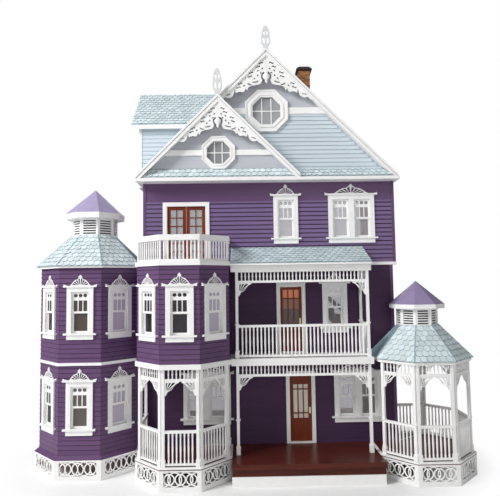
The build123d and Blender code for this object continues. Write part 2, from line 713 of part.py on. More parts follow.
# Octagonal attic windows: trim ring, liner through the wall, pane and glazing bars.
OCT_TRIM_T = 5.0
OCT_BAR = 2.5
OCT_BAR_REACH = 0.95     # share of the clear height the upright bars span
with BuildPart() as gable_windows:
    for gx, mid, outer, inner, out in (
        (GABLE_X, OCT_BIG_Z, OCT_BIG_A, OCT_BIG_IN, 0),
        (SMALL_X, OCT_SMALL_Z, OCT_SMALL_A, OCT_SMALL_IN, SMALL_WALL_OUT),
    ):
        with BuildSketch(GABLE_FACE.offset(out)):
            with BuildLine():
                Polyline(*octagon(gx, mid, outer), close=True)
            make_face()
            with BuildLine():
                Polyline(*octagon(gx, mid, inner), close=True)
            make_face(mode=Mode.SUBTRACT)
        extrude(amount=OCT_TRIM_T)
        with BuildSketch(GABLE_FACE.offset(out)):
            with BuildLine():
                Polyline(*octagon(gx, mid, inner + OCT_LINER), close=True)
            make_face()
            with BuildLine():
                Polyline(*octagon(gx, mid, inner), close=True)
            make_face(mode=Mode.SUBTRACT)
        extrude(amount=-WALL)
        with BuildSketch(GABLE_FACE.offset(out)):
            with Locations((gx, mid)):
                Rectangle(2 * inner, OCT_BAR)
            for side in (-1, 1):
                with Locations((gx + side * inner / 3, mid)):
                    Rectangle(OCT_BAR, 2 * inner * OCT_BAR_REACH)
        extrude(amount=-SASH_T)
        with BuildSketch(GABLE_FACE.offset(out - SASH_T / 2)):
            with BuildLine():
                Polyline(*octagon(gx, mid, inner + OCT_LINER / 2), close=True)
            make_face()
        extrude(amount=-PANE_T)
gable_windows.part.label = "gable_windows"
export_step(gable_windows.part, "parts/gable_windows.step")

# Cross gable on the left slope of the main roof.
DORMER_Y = FRONT_Y + 181.0
DORMER_HALF = 121.0
DORMER_EAVE = 136.0
DORMER_TOP = 1070.0
DORMER_L = EAVE_L - 29.0
with BuildPart() as dormer_walls:
    with BuildSketch(Plane.YZ.offset(EAVE_L - WALL)):
        peak = DORMER_TOP - ROOF_T
        with BuildLine():
            Polyline(
                (DORMER_Y - DORMER_HALF, CEILING_3), (DORMER_Y + DORMER_HALF, CEILING_3),
                (DORMER_Y + DORMER_HALF, peak - DORMER_HALF), (DORMER_Y, peak),
                (DORMER_Y - DORMER_HALF, peak - DORMER_HALF), close=True,
            )
        make_face()
    extrude(amount=WALL)
    cheek_z = DORMER_TOP - ROOF_T - DORMER_HALF
    for y0 in (DORMER_Y - DORMER_HALF, DORMER_Y + DORMER_HALF - WALL):
        with BuildSketch(Plane(origin=(0, y0, 0), x_dir=(1, 0, 0), z_dir=(0, -1, 0))):
            with BuildLine():
                Polyline(
                    (EAVE_L + SEAM, EAVE_Z + SEAM), (GABLE_X - (GABLE_TOP - cheek_z), cheek_z),
                    (EAVE_L + SEAM, cheek_z), close=True,
                )
            make_face()
        extrude(amount=-WALL)
dormer_walls.part.label = "dormer_walls"
export_step(dormer_walls.part, "parts/dormer_walls.step")

with BuildPart() as dormer_roof:
    for side in (-1, 1):
        with BuildSketch(Plane.YZ.offset(DORMER_L)):
            ridge = DORMER_Y + side * SEAM / 2
            eave = DORMER_Y + side * DORMER_EAVE
            with BuildLine():
                Polyline(
                    (ridge, DORMER_TOP - SEAM / 2), (eave, DORMER_TOP - DORMER_EAVE),
                    (eave, DORMER_TOP - DORMER_EAVE - ROOF_T),
                    (ridge, DORMER_TOP - ROOF_T - SEAM / 2),
                    close=True,
                )
            make_face()
        extrude(amount=GABLE_X - DORMER_L)
    with BuildSketch(Plane(origin=(0, BACK_Y, 0), x_dir=(1, 0, 0), z_dir=(0, -1, 0))):
        with BuildLine():
            Polyline(
                (EAVE_L, CEILING_3), (EAVE_L, EAVE_Z), (GABLE_X, GABLE_TOP), (GABLE_X, CEILING_3),
                close=True,
            )
        make_face()
    extrude(amount=BACK_Y - FRONT_Y, mode=Mode.SUBTRACT)
dormer_roof.part.label = "dormer_roof"
export_step(dormer_roof.part, "parts/dormer_roof.step")

# Brick chimney on the right slope.
CHIMNEY_X = 174.0
CHIMNEY_Y = FRONT_Y + 60.0
CHIMNEY_W = 32.0
CHIMNEY_DROP = 34.6      # top of the stack below the ridge
CHIMNEY_TOP = GABLE_TOP - CHIMNEY_DROP
CHIMNEY_CAP_W = 45.0
CHIMNEY_CAP_H = 22.0
FLUE_W = 16.0
FLUE_D = 14.0
with BuildPart() as chimney_stack:
    with BuildSketch(Plane(origin=(0, CHIMNEY_Y - CHIMNEY_W / 2, 0), x_dir=(1, 0, 0), z_dir=(0, -1, 0))):
        slope = GABLE_TOP + GABLE_X
        with BuildLine():
            Polyline(
                (CHIMNEY_X - CHIMNEY_W / 2, slope - CHIMNEY_X + CHIMNEY_W / 2),
                (CHIMNEY_X + CHIMNEY_W / 2, slope - CHIMNEY_X - CHIMNEY_W / 2),
                (CHIMNEY_X + CHIMNEY_W / 2, CHIMNEY_TOP), (CHIMNEY_X - CHIMNEY_W / 2, CHIMNEY_TOP),
                close=True,
            )
        make_face()
    extrude(amount=-CHIMNEY_W)
chimney_stack.part.label = "chimney_stack"
export_step(chimney_stack.part, "parts/chimney_stack.step")

with BuildPart() as chimney_cap:
    with BuildSketch(Plane.XY.offset(CHIMNEY_TOP)):
        with Locations((CHIMNEY_X, CHIMNEY_Y)):
            Rectangle(CHIMNEY_CAP_W, CHIMNEY_CAP_W)
    extrude(amount=CHIMNEY_CAP_H)
    with BuildSketch(Plane.XY.offset(CHIMNEY_TOP + CHIMNEY_CAP_H)):
        with Locations((CHIMNEY_X, CHIMNEY_Y)):
            Rectangle(FLUE_W, FLUE_W)
    extrude(amount=-FLUE_D, mode=Mode.SUBTRACT)
chimney_cap.part.label = "chimney_cap"
export_step(chimney_cap.part, "parts/chimney_cap.step")

# Tower: wall panels with an open back for the hand, and white and purple mouldings.
BELT_Z = 278.0
BELT_H = 7.0
BELT_OUT = 5.0
FLARE_H = 10.0
TOWER_CLIP = LOWER_L - SEAM
with BuildPart() as tower_walls:
    with BuildSketch(Plane.XY.offset(SKIRT_H)):
        for turn in TOWER_FACES:
            with BuildLine():
                Polyline(*panel_plan(TOWER_X, TOWER_Y, TOWER_A, turn, WALL), close=True)
            make_face()
    extrude(amount=TOWER_TOP - SKIRT_H)
    for name, plane, count in WINDOWS:
        if name.startswith("tower"):
            with BuildSketch(plane):
                with Locations((0, HOLE_Z)):
                    Rectangle(HOLE_W, HOLE_H)
    extrude(amount=-WALL, mode=Mode.SUBTRACT)
tower_walls.part.label = "tower_walls"
export_step(tower_walls.part, "parts/tower_walls.step")

with BuildPart() as tower_mouldings:
    with BuildSketch(Plane.XY.offset(BELT_Z)):
        with BuildLine():
            Polyline(*octagon(TOWER_X, TOWER_Y, TOWER_A + BELT_OUT), close=True)
        make_face()
    extrude(amount=BELT_H)
    with BuildSketch(Plane.XY.offset(SKIRT_H)):
        with BuildLine():
            Polyline(*octagon(TOWER_X, TOWER_Y, TOWER_A + TOWER_SKIRT_OUT), close=True)
        make_face()
    with BuildSketch(Plane.XY.offset(SKIRT_H + FLARE_H)):
        with BuildLine():
            Polyline(*octagon(TOWER_X, TOWER_Y, TOWER_A + FIT), close=True)
        make_face()
    loft()
    with BuildSketch(Plane.XY):
        with BuildLine():
            Polyline(*octagon(TOWER_X, TOWER_Y, TOWER_A), close=True)
        make_face()
        with BuildLine():
            Polyline(
                (TOWER_CLIP, FRONT_Y - BACK_Y), (TOWER_CLIP + BACK_Y, FRONT_Y - BACK_Y),
                (TOWER_CLIP + BACK_Y, BACK_Y), (TOWER_CLIP, BACK_Y), close=True,
            )
        make_face()
        with Locations((TOWER_X, TOWER_Y + TOWER_A)):
            Rectangle(2 * TOWER_A * OCT_TAN, TOWER_A)
    extrude(amount=TOWER_TOP, mode=Mode.SUBTRACT)
tower_mouldings.part.label = "tower_mouldings"
export_step(tower_mouldings.part, "parts/tower_mouldings.step")

# Octagonal roofs: closed underneath, hollow inside, open at the top under the cupola.
SHELL = 8.0
SOFFIT_T = 6.0
with BuildPart() as tower_roof:
    with BuildSketch(Plane.XY.offset(TOWER_TOP)):
        with BuildLine():
            Polyline(*octagon(TOWER_X, TOWER_Y, TOWER_EAVE_A), close=True)
        make_face()
    with BuildSketch(Plane.XY.offset(TOWER_ROOF_TOP)):
        with BuildLine():
            Polyline(*octagon(TOWER_X, TOWER_Y, TOWER_CUPOLA_A), close=True)
        make_face()
    loft()
    with BuildSketch(Plane.XY.offset(TOWER_TOP + SOFFIT_T)):
        with BuildLine():
            Polyline(*octagon(TOWER_X, TOWER_Y, TOWER_EAVE_A - 2 * SHELL), close=True)
        make_face()
    with BuildSketch(Plane.XY.offset(TOWER_ROOF_TOP)):
        with BuildLine():
            Polyline(*octagon(TOWER_X, TOWER_Y, TOWER_CUPOLA_A - SHELL), close=True)
        make_face()
    loft(mode=Mode.SUBTRACT)
    with BuildSketch(Plane.XY.offset(TOWER_TOP)):
        with BuildLine():
            Polyline(
                (TOWER_CLIP, FRONT_Y - BACK_Y), (TOWER_CLIP + BACK_Y, FRONT_Y - BACK_Y),
                (TOWER_CLIP + BACK_Y, BACK_Y), (TOWER_CLIP, BACK_Y), close=True,
            )
        make_face()
    extrude(amount=TOWER_ROOF_TOP - TOWER_TOP, mode=Mode.SUBTRACT)
tower_roof.part.label = "tower_roof"
export_step(tower_roof.part, "parts/tower_roof.step")

GAZEBO_EAVE_Z = 285.0
with BuildPart() as gazebo_roof:
    with BuildSketch(Plane.XY.offset(FRIEZE_TOP)):
        with BuildLine():
            Polyline(*octagon(GAZEBO_X, GAZEBO_Y, GAZEBO_A + BELT_OUT / 2), close=True)
        make_face()
    extrude(amount=GAZEBO_EAVE_Z - FRIEZE_TOP)
    with BuildSketch(Plane.XY.offset(GAZEBO_EAVE_Z)):
        with BuildLine():
            Polyline(*octagon(GAZEBO_X, GAZEBO_Y, GAZEBO_EAVE_A), close=True)
        make_face()
    with BuildSketch(Plane.XY.offset(GAZEBO_ROOF_TOP)):
        with BuildLine():
            Polyline(*octagon(GAZEBO_X, GAZEBO_Y, GAZEBO_CUPOLA_A), close=True)
        make_face()
    loft()
    with BuildSketch(Plane.XY.offset(GAZEBO_EAVE_Z)):
        with BuildLine():
            Polyline(*octagon(GAZEBO_X, GAZEBO_Y, GAZEBO_EAVE_A - 2 * SHELL), close=True)
        make_face()
    with BuildSketch(Plane.XY.offset(GAZEBO_ROOF_TOP)):
        with BuildLine():
            Polyline(*octagon(GAZEBO_X, GAZEBO_Y, GAZEBO_CUPOLA_A - SHELL), close=True)
        make_face()
    loft(mode=Mode.SUBTRACT)
    with BuildSketch(Plane.XY.offset(FRIEZE_TOP)):
        with BuildLine():
            Polyline(
                (LOWER_L, FRONT_Y - SEAM), (LOWER_R + SEAM, FRONT_Y - SEAM),
                (LOWER_R + SEAM, BACK_Y), (LOWER_L, BACK_Y), close=True,
            )
        make_face()
    extrude(amount=GAZEBO_ROOF_TOP - FRIEZE_TOP, mode=Mode.SUBTRACT)
gazebo_roof.part.label = "gazebo_roof"
export_step(gazebo_roof.part, "parts/gazebo_roof.step")

# Louvred cupolas and their eight-sided cap roofs.
LOUVRE_N = 6
LOUVRE_SLOT = 3.6
LOUVRE_POST = 6.0
CUPOLA_T = 5.0
CAP_TIP = 0.6
for node, cap, cx, cy, a, low, high, brim, brim_top, apex in (
    (
        "tower_cupola", "tower_cap", TOWER_X, TOWER_Y, TOWER_CUPOLA_A, TOWER_ROOF_TOP,
        TOWER_CUPOLA_TOP, TOWER_BRIM_A, TOWER_BRIM_TOP, TOWER_APEX,
    ),
    (
        "gazebo_cupola", "gazebo_cap", GAZEBO_X, GAZEBO_Y, GAZEBO_CUPOLA_A, GAZEBO_ROOF_TOP,
        GAZEBO_CUPOLA_TOP, GAZEBO_BRIM_A, GAZEBO_BRIM_TOP, GAZEBO_APEX,
    ),
):
    with BuildPart() as cupola:
        with BuildSketch(Plane.XY.offset(low)):
            with BuildLine():
                Polyline(*octagon(cx, cy, a), close=True)
            make_face()
            with BuildLine():
                Polyline(*octagon(cx, cy, a - CUPOLA_T), close=True)
            make_face(mode=Mode.SUBTRACT)
        extrude(amount=high - low)
        for turn in range(0, 360, 45):
            with BuildSketch(face_plane(cx, cy, a, turn, (low + high) / 2)):
                with GridLocations(1, (high - low) / (LOUVRE_N + 1), 1, LOUVRE_N):
                    Rectangle(2 * a * OCT_TAN - 2 * LOUVRE_POST, LOUVRE_SLOT)
        extrude(amount=-CUPOLA_T, mode=Mode.SUBTRACT)
    cupola.part.label = node
    export_step(cupola.part, f"parts/{node}.step")
    with BuildPart() as cap_roof:
        with BuildSketch(Plane.XY.offset(high)):
            with BuildLine():
                Polyline(*octagon(cx, cy, brim), close=True)
            make_face()
        extrude(amount=brim_top - high)
        with BuildSketch(Plane.XY.offset(brim_top)):
            with BuildLine():
                Polyline(*octagon(cx, cy, brim), close=True)
            make_face()
        with BuildSketch(Plane.XY.offset(apex)):
            with BuildLine():
                Polyline(*octagon(cx, cy, CAP_TIP), close=True)
            make_face()
        loft()
    cap_roof.part.label = cap
    export_step(cap_roof.part, f"parts/{cap}.step")

# Bay: walls of the upper room, its floor, and the balcony on top.
with BuildPart() as bay_walls:
    with BuildSketch(Plane.XY.offset(FLOOR_2)):
        for turn in BAY_FACES:
            with BuildLine():
                Polyline(
                    *panel_plan(BAY_X, BAY_Y, BAY_A, turn, WALL, FRONT_Y), close=True
                )
            make_face()
    extrude(amount=BALCONY_Z - FLOOR_2)
    for name, plane, count in WINDOWS:
        if name in ("bay_left", "bay_front", "bay_right"):
            with BuildSketch(plane):
                with Locations((0, HOLE_Z)):
                    Rectangle(HOLE_W, HOLE_H)
    extrude(amount=-WALL, mode=Mode.SUBTRACT)
bay_walls.part.label = "bay_walls"
export_step(bay_walls.part, "parts/bay_walls.step")

with BuildPart() as bay_floor:
    with BuildSketch(Plane.XY.offset(FRIEZE_TOP)):
        with BuildLine():
            Polyline(*octagon(BAY_X, BAY_Y, BAY_A + OCT_OUT), close=True)
        make_face()
        with Locations((BAY_X, FRONT_Y + BAY_A)):
            Rectangle(4 * BAY_A, 2 * BAY_A, mode=Mode.SUBTRACT)
    extrude(amount=FLOOR_2 - FRIEZE_TOP)
bay_floor.part.label = "bay_floor"
export_step(bay_floor.part, "parts/bay_floor.step")

with BuildPart() as balcony_floor:
    with BuildSketch(Plane.XY.offset(BALCONY_Z)):
        with BuildLine():
            Polyline(*octagon(BAY_X, BAY_Y, BAY_A + OCT_OUT), close=True)
        make_face()
        with Locations((BAY_X, FRONT_Y - CASING_T - SEAM + BAY_A)):
            Rectangle(4 * BAY_A, 2 * BAY_A, mode=Mode.SUBTRACT)
    extrude(amount=BALCONY_T)
balcony_floor.part.label = "balcony_floor"
export_step(balcony_floor.part, "parts/balcony_floor.step")

BALCONY_CAP_H = 13.5
BALCONY_CAP_W = 10.0
BALCONY_FOOT = 5.0
BALCONY_SLOTS = 11
with BuildPart() as balcony_railing:
    rail_low = BALCONY_Z + BALCONY_T
    cap_low = BALCONY_RAIL_TOP - BALCONY_CAP_H
    rail_back = FRONT_Y - EDGE_STRIP - SEAM
    with BuildSketch(Plane.XY.offset(cap_low)):
        for turn in BAY_FACES:
            with BuildLine():
                Polyline(
                    *panel_plan(BAY_X, BAY_Y, BAY_A + OCT_OUT / 2, turn, BALCONY_CAP_W, rail_back),
                    close=True,
                )
            make_face()
    extrude(amount=BALCONY_CAP_H)
    with BuildSketch(Plane.XY.offset(rail_low)):
        for turn in BAY_FACES:
            with BuildLine():
                Polyline(
                    *panel_plan(BAY_X, BAY_Y, BAY_A, turn, SHEET, rail_back), close=True
                )
            make_face()
    extrude(amount=cap_low - rail_low)
    for turn in BAY_FACES:
        with BuildSketch(face_plane(BAY_X, BAY_Y, BAY_A, turn, rail_low)):
            span = 2 * BAY_A * OCT_TAN - POST
            with Locations((0, (cap_low - rail_low + BALCONY_FOOT) / 2)):
                with GridLocations(span / BALCONY_SLOTS, 1, BALCONY_SLOTS, 1):
                    Rectangle(span / BALCONY_SLOTS - BAR, cap_low - rail_low - BALCONY_FOOT)
    extrude(amount=-SHEET, mode=Mode.SUBTRACT)
balcony_railing.part.label = "balcony_railing"
export_step(balcony_railing.part, "parts/balcony_railing.step")

# Mahogany boards: porch deck and its front riser, bay deck and gazebo deck.
PORCH_FACE_T = 10.0
with BuildPart() as decks:
    with BuildSketch(Plane.XY.offset(FLOOR_1 - DECK_T)):
        with BuildLine():
            Polyline(
                (DECK_L, FRONT_Y - DECK_OUT), (DECK_R, FRONT_Y - DECK_OUT),
                (DECK_R, FRONT_Y), (DECK_L, FRONT_Y), close=True,
            )
        make_face()
    extrude(amount=DECK_T)
    with BuildSketch(Plane.XY.offset(FLOOR_1 - OCT_DECK_T)):
        with BuildLine():
            Polyline(*octagon(BAY_X, BAY_Y, BAY_A + OCT_OUT), close=True)
        make_face()
        with BuildLine():
            Polyline(*octagon(GAZEBO_X, GAZEBO_Y, GAZEBO_A + OCT_OUT), close=True)
        make_face()
        with BuildLine():
            Polyline(
                (LOWER_L, FRONT_Y), (LOWER_R, FRONT_Y), (LOWER_R, BACK_Y), (LOWER_L, BACK_Y),
                close=True,
            )
        make_face(mode=Mode.SUBTRACT)
    extrude(amount=OCT_DECK_T)
    with BuildSketch(Plane.XY.offset(PORCH_BASE_H)):
        with BuildLine():
            Polyline(
                (DECK_L, FRONT_Y - RISER_OUT), (DECK_R, FRONT_Y - RISER_OUT),
                (DECK_R, FRONT_Y - RISER_OUT + PORCH_FACE_T),
                (DECK_L, FRONT_Y - RISER_OUT + PORCH_FACE_T), close=True,
            )
        make_face()
    extrude(amount=FLOOR_1 - DECK_T - PORCH_BASE_H - SEAM)
decks.part.label = "decks"
export_step(decks.part, "parts/decks.step")

# White base strip under the porch front.
with BuildPart() as porch_base:
    with BuildSketch(Plane.XY):
        with BuildLine():
            Polyline(
                (DECK_L, FRONT_Y - PORCH_BASE_OUT), (DECK_R, FRONT_Y - PORCH_BASE_OUT),
                (DECK_R, FRONT_Y - RISER_OUT + PORCH_FACE_T),
                (DECK_L, FRONT_Y - RISER_OUT + PORCH_FACE_T), close=True,
            )
        make_face()
    extrude(amount=PORCH_BASE_H)
porch_base.part.label = "porch_base"
export_step(porch_base.part, "parts/porch_base.step")

# Upper porch floor and the shed roof over it.
PORCH_R = POST_R + POST_FOOT
with BuildPart() as upper_porch_floor:
    with BuildSketch(Plane.XY.offset(PORCH_FLOOR_Z)):
        with BuildLine():
            Polyline(
                (DECK_L, FRONT_Y - PORCH_FLOOR_OUT), (PORCH_R, FRONT_Y - PORCH_FLOOR_OUT),
                (PORCH_R, FRONT_Y), (DECK_L, FRONT_Y), close=True,
            )
        make_face()
    extrude(amount=FLOOR_2 - PORCH_FLOOR_Z)
upper_porch_floor.part.label = "upper_porch_floor"
export_step(upper_porch_floor.part, "parts/upper_porch_floor.step")

BEAM_T = 11.0
EAVE_LIP = 4.5
with BuildPart() as porch_roof:
    with BuildSketch(Plane.YZ.offset(DECK_L)):
        with BuildLine():
            Polyline(
                (FRONT_Y - PORCH_ROOF_OUT, PORCH_EAVE_Z),
                (FRONT_Y - PORCH_ROOF_OUT, PORCH_EAVE_Z + EAVE_LIP),
                (FRONT_Y, PORCH_ROOF_BACK_Z + EAVE_LIP),
                (FRONT_Y, PORCH_ROOF_BACK_Z + EAVE_LIP - PORCH_ROOF_T),
                (FRONT_Y - POST_OUT + BEAM_T / 2, PORCH_EAVE_Z), close=True,
            )
        make_face()
    extrude(amount=PORCH_R - DECK_L)
    with BuildSketch(Plane.XY.offset(PORCH_BEAM_Z)):
        with BuildLine():
            Polyline(
                (DECK_L, FRONT_Y - POST_OUT - BEAM_T / 2), (PORCH_R, FRONT_Y - POST_OUT - BEAM_T / 2),
                (PORCH_R, FRONT_Y - POST_OUT + BEAM_T / 2), (DECK_L, FRONT_Y - POST_OUT + BEAM_T / 2),
                close=True,
            )
        make_face()
    extrude(amount=PORCH_EAVE_Z - PORCH_BEAM_Z - SEAM)
porch_roof.part.label = "porch_roof"
export_step(porch_roof.part, "parts/porch_roof.step")

# Lattice skirts of interlaced rings.
RING_R = 14.5
RING_PITCH = 13.6
RING_SIDE = 3            # rings on each side of the middle one
rings = Sketch()
for k in range(-RING_SIDE, RING_SIDE + 1):
    rings += Pos(k * RING_PITCH, 0) * (Circle(RING_R) - Circle(RING_R - LATTICE_BAR))
lattice_holes = Rectangle(LATTICE_W, LATTICE_H) - rings
with BuildPart() as lattice_skirts:
    with BuildSketch(Plane.XY):
        for turn in TOWER_SKIRT_FACES:
            with BuildLine():
                Polyline(
                    *panel_plan(TOWER_X, TOWER_Y, TOWER_A + TOWER_SKIRT_OUT, turn, SKIRT_T),
                    close=True,
                )
            make_face()
        for turn in BAY_FACES:
            with BuildLine():
                Polyline(
                    *panel_plan(BAY_X, BAY_Y, BAY_A + BAY_SKIRT_OUT, turn, SKIRT_T, FRONT_Y),
                    close=True,
                )
            make_face()
        for turn in GAZEBO_FACES:
            with BuildLine():
                Polyline(
                    *panel_plan(GAZEBO_X, GAZEBO_Y, GAZEBO_A + GAZEBO_SKIRT_OUT, turn, SKIRT_T),
                    close=True,
                )
            make_face()
        with BuildLine():
            Polyline(
                (LOWER_L, FRONT_Y), (LOWER_R, FRONT_Y), (LOWER_R, BACK_Y), (LOWER_L, BACK_Y),
                close=True,
            )
        make_face(mode=Mode.SUBTRACT)
    extrude(amount=SKIRT_H)
    for cx, cy, a, faces in (
        (TOWER_X, TOWER_Y, TOWER_A + TOWER_SKIRT_OUT, TOWER_SKIRT_FACES[1:]),
        (BAY_X, BAY_Y, BAY_A + BAY_SKIRT_OUT, BAY_FACES[1:-1]),
        (GAZEBO_X, GAZEBO_Y, GAZEBO_A + GAZEBO_SKIRT_OUT, GAZEBO_FACES[:-1]),
    ):
        for turn in faces:
            with BuildSketch(face_plane(cx, cy, a, turn, LATTICE_Z + LATTICE_H / 2)):
                add(lattice_holes)
    extrude(amount=-SKIRT_T, mode=Mode.SUBTRACT)
lattice_skirts.part.label = "lattice_skirts"
export_step(lattice_skirts.part, "parts/lattice_skirts.step")

# Posts: a pair at each octagon corner, and the porch posts on two levels.
POST_INSET = 6.5         # post centre from the octagon corner, along the face
SCREENS = [(BAY_X, BAY_Y, BAY_A, turn) for turn in BAY_FACES]
SCREENS += [(GAZEBO_X, GAZEBO_Y, GAZEBO_A, turn) for turn in GAZEBO_FACES]
PORCH_Y = FRONT_Y - POST_OUT
WALL_POST_Y = FRONT_Y - EDGE_STRIP - POST / 2
with BuildPart() as posts:
    for size, tall in ((POST, FRIEZE_TOP - FLOOR_1), (POST_FOOT, POST_FOOT_H)):
        with BuildSketch(Plane.XY.offset(FLOOR_1)):
            for cx, cy, a, turn in SCREENS:
                shift = a * OCT_TAN - POST_INSET
                n = (math.cos(math.radians(turn)), math.sin(math.radians(turn)))
                for side in (-1, 1):
                    px = cx + (a - POST_FOOT / 2) * n[0] - side * shift * n[1]
                    py = cy + (a - POST_FOOT / 2) * n[1] + side * shift * n[0]
                    with Locations(Location((px, py), turn)):
                        Rectangle(size, size)
        extrude(amount=tall)
    for size, low, tall in (
        (POST, FLOOR_1, PORCH_FLOOR_Z - FLOOR_1),
        (POST_FOOT, FLOOR_1, POST_FOOT_H),
        (POST, FLOOR_2, PORCH_BEAM_Z - FLOOR_2),
        (POST_FOOT, FLOOR_2, POST_FOOT_H),
    ):
        with BuildSketch(Plane.XY.offset(low)):
            with Locations((POST_L, PORCH_Y), (POST_R, PORCH_Y)):
                Rectangle(size, size)
        extrude(amount=tall)
    with BuildSketch(Plane.XY.offset(FLOOR_2)):
        with Locations((POST_R, WALL_POST_Y)):
            Rectangle(POST, POST)
    extrude(amount=PORCH_BEAM_Z - FLOOR_2)
posts.part.label = "posts"
export_step(posts.part, "parts/posts.step")

# Railings between the posts.
RAIL_UP = 3.0            # bottom edge above the deck
RAIL_FOOT = 8.0
FACE_SLOTS = 8
PORCH_SLOTS = 28
RETURN_SLOTS = 6
PORCH_SPAN = POST_R - POST_L - POST
RETURN_SPAN = WALL_POST_Y - PORCH_Y - POST


def porch_face(z):
    """Front plane of the porch sheets between the two posts, at a height."""
    mid = (POST_L + POST_R) / 2
    return Plane(origin=(mid, PORCH_Y - SHEET / 2, z), x_dir=(1, 0, 0), z_dir=(0, -1, 0))


def return_face(z):
    """Outer plane of the porch sheets on the right end, at a height."""
    mid = (WALL_POST_Y + PORCH_Y) / 2
    return Plane(origin=(POST_R + SHEET / 2, mid, z), x_dir=(0, 1, 0), z_dir=(1, 0, 0))


RAIL_PANELS = [
    (
        face_plane(cx, cy, a - POST_FOOT / 2 + SHEET / 2, turn, FLOOR_1),
        2 * (a * OCT_TAN - POST_INSET) - POST, FACE_SLOTS,
    )
    for cx, cy, a, turn in SCREENS
]
RAIL_PANELS.append((porch_face(FLOOR_2), PORCH_SPAN, PORCH_SLOTS))
RAIL_PANELS.append((return_face(FLOOR_2), RETURN_SPAN, RETURN_SLOTS))
with BuildPart() as railings:
    for plane, span, slots in RAIL_PANELS:
        with BuildSketch(plane):
            with Locations((0, (POST_FOOT_H + RAIL_H) / 2)):
                Rectangle(span, RAIL_H - POST_FOOT_H)
            with Locations((0, (POST_FOOT_H + RAIL_UP) / 2)):
                Rectangle(span - POST_FOOT + POST, POST_FOOT_H - RAIL_UP)
            with Locations((0, (RAIL_UP + RAIL_FOOT + RAIL_H - RAIL_CAP) / 2)):
                with GridLocations(span / slots, 1, slots, 1):
                    Rectangle(
                        span / slots - BAR, RAIL_H - RAIL_CAP - RAIL_UP - RAIL_FOOT,
                        mode=Mode.SUBTRACT,
                    )
    extrude(amount=-SHEET)
railings.part.label = "railings"
export_step(railings.part, "parts/railings.step")

# Spindle friezes under the beams, and pierced fan brackets in their corners.
SPINDLE_PITCH = 7.4
SPINDLE = 3.4
FRIEZE_PANELS = []
for cx, cy, a, turn in SCREENS:
    FRIEZE_PANELS.append(
        (
            face_plane(cx, cy, a - POST_FOOT / 2 + SHEET / 2, turn, FRIEZE_TOP),
            2 * (a * OCT_TAN - POST_INSET) - POST,
        )
    )
FRIEZE_PANELS.append((porch_face(PORCH_FLOOR_Z), PORCH_SPAN))
FRIEZE_PANELS.append((porch_face(PORCH_BEAM_Z), PORCH_SPAN))
FRIEZE_PANELS.append((return_face(PORCH_BEAM_Z), RETURN_SPAN))
with BuildPart() as friezes:
    for plane, span in FRIEZE_PANELS:
        slots = int(span / SPINDLE_PITCH)
        with BuildSketch(plane):
            with Locations((0, -FRIEZE_H / 2)):
                Rectangle(span, FRIEZE_H)
            with Locations((0, -FRIEZE_H + FRIEZE_RAIL + FRIEZE_SLOT / 2)):
                with GridLocations(span / slots, 1, slots, 1):
                    Rectangle(span / slots - SPINDLE, FRIEZE_SLOT, mode=Mode.SUBTRACT)
    extrude(amount=-SHEET)
friezes.part.label = "friezes"
export_step(friezes.part, "parts/friezes.step")

FAN_EDGE = ((1.0, 0.0), (0.97, 0.10), (0.80, 0.17), (0.62, 0.30), (0.44, 0.48), (0.30, 0.62),
            (0.17, 0.80), (0.10, 0.97), (0.0, 1.0))
FAN_RAYS = (20.0, 45.0, 70.0)
FAN_SLOT = 4.0
FAN_SLOT_W = 1.33
FAN_REACH = 0.34 * BRACKET
with BuildPart() as frieze_brackets:
    for plane, span in FRIEZE_PANELS:
        for side in (-1, 1):
            corner = side * (span / 2)
            with BuildSketch(plane):
                edge = [
                    (corner - side * u * BRACKET, -FRIEZE_H - SEAM - w * BRACKET) for u, w in FAN_EDGE
                ]
                with BuildLine():
                    Polyline((corner, -FRIEZE_H - SEAM), *edge, close=True)
                make_face()
                for ray in FAN_RAYS:
                    x = corner - side * FAN_REACH * math.cos(math.radians(ray))
                    y = -FRIEZE_H - SEAM - FAN_REACH * math.sin(math.radians(ray))
                    with Locations(Location((x, y), side * ray)):
                        Ellipse(FAN_SLOT, FAN_SLOT_W, mode=Mode.SUBTRACT)
    extrude(amount=-SHEET)
frieze_brackets.part.label = "frieze_brackets"
export_step(frieze_brackets.part, "parts/frieze_brackets.step")

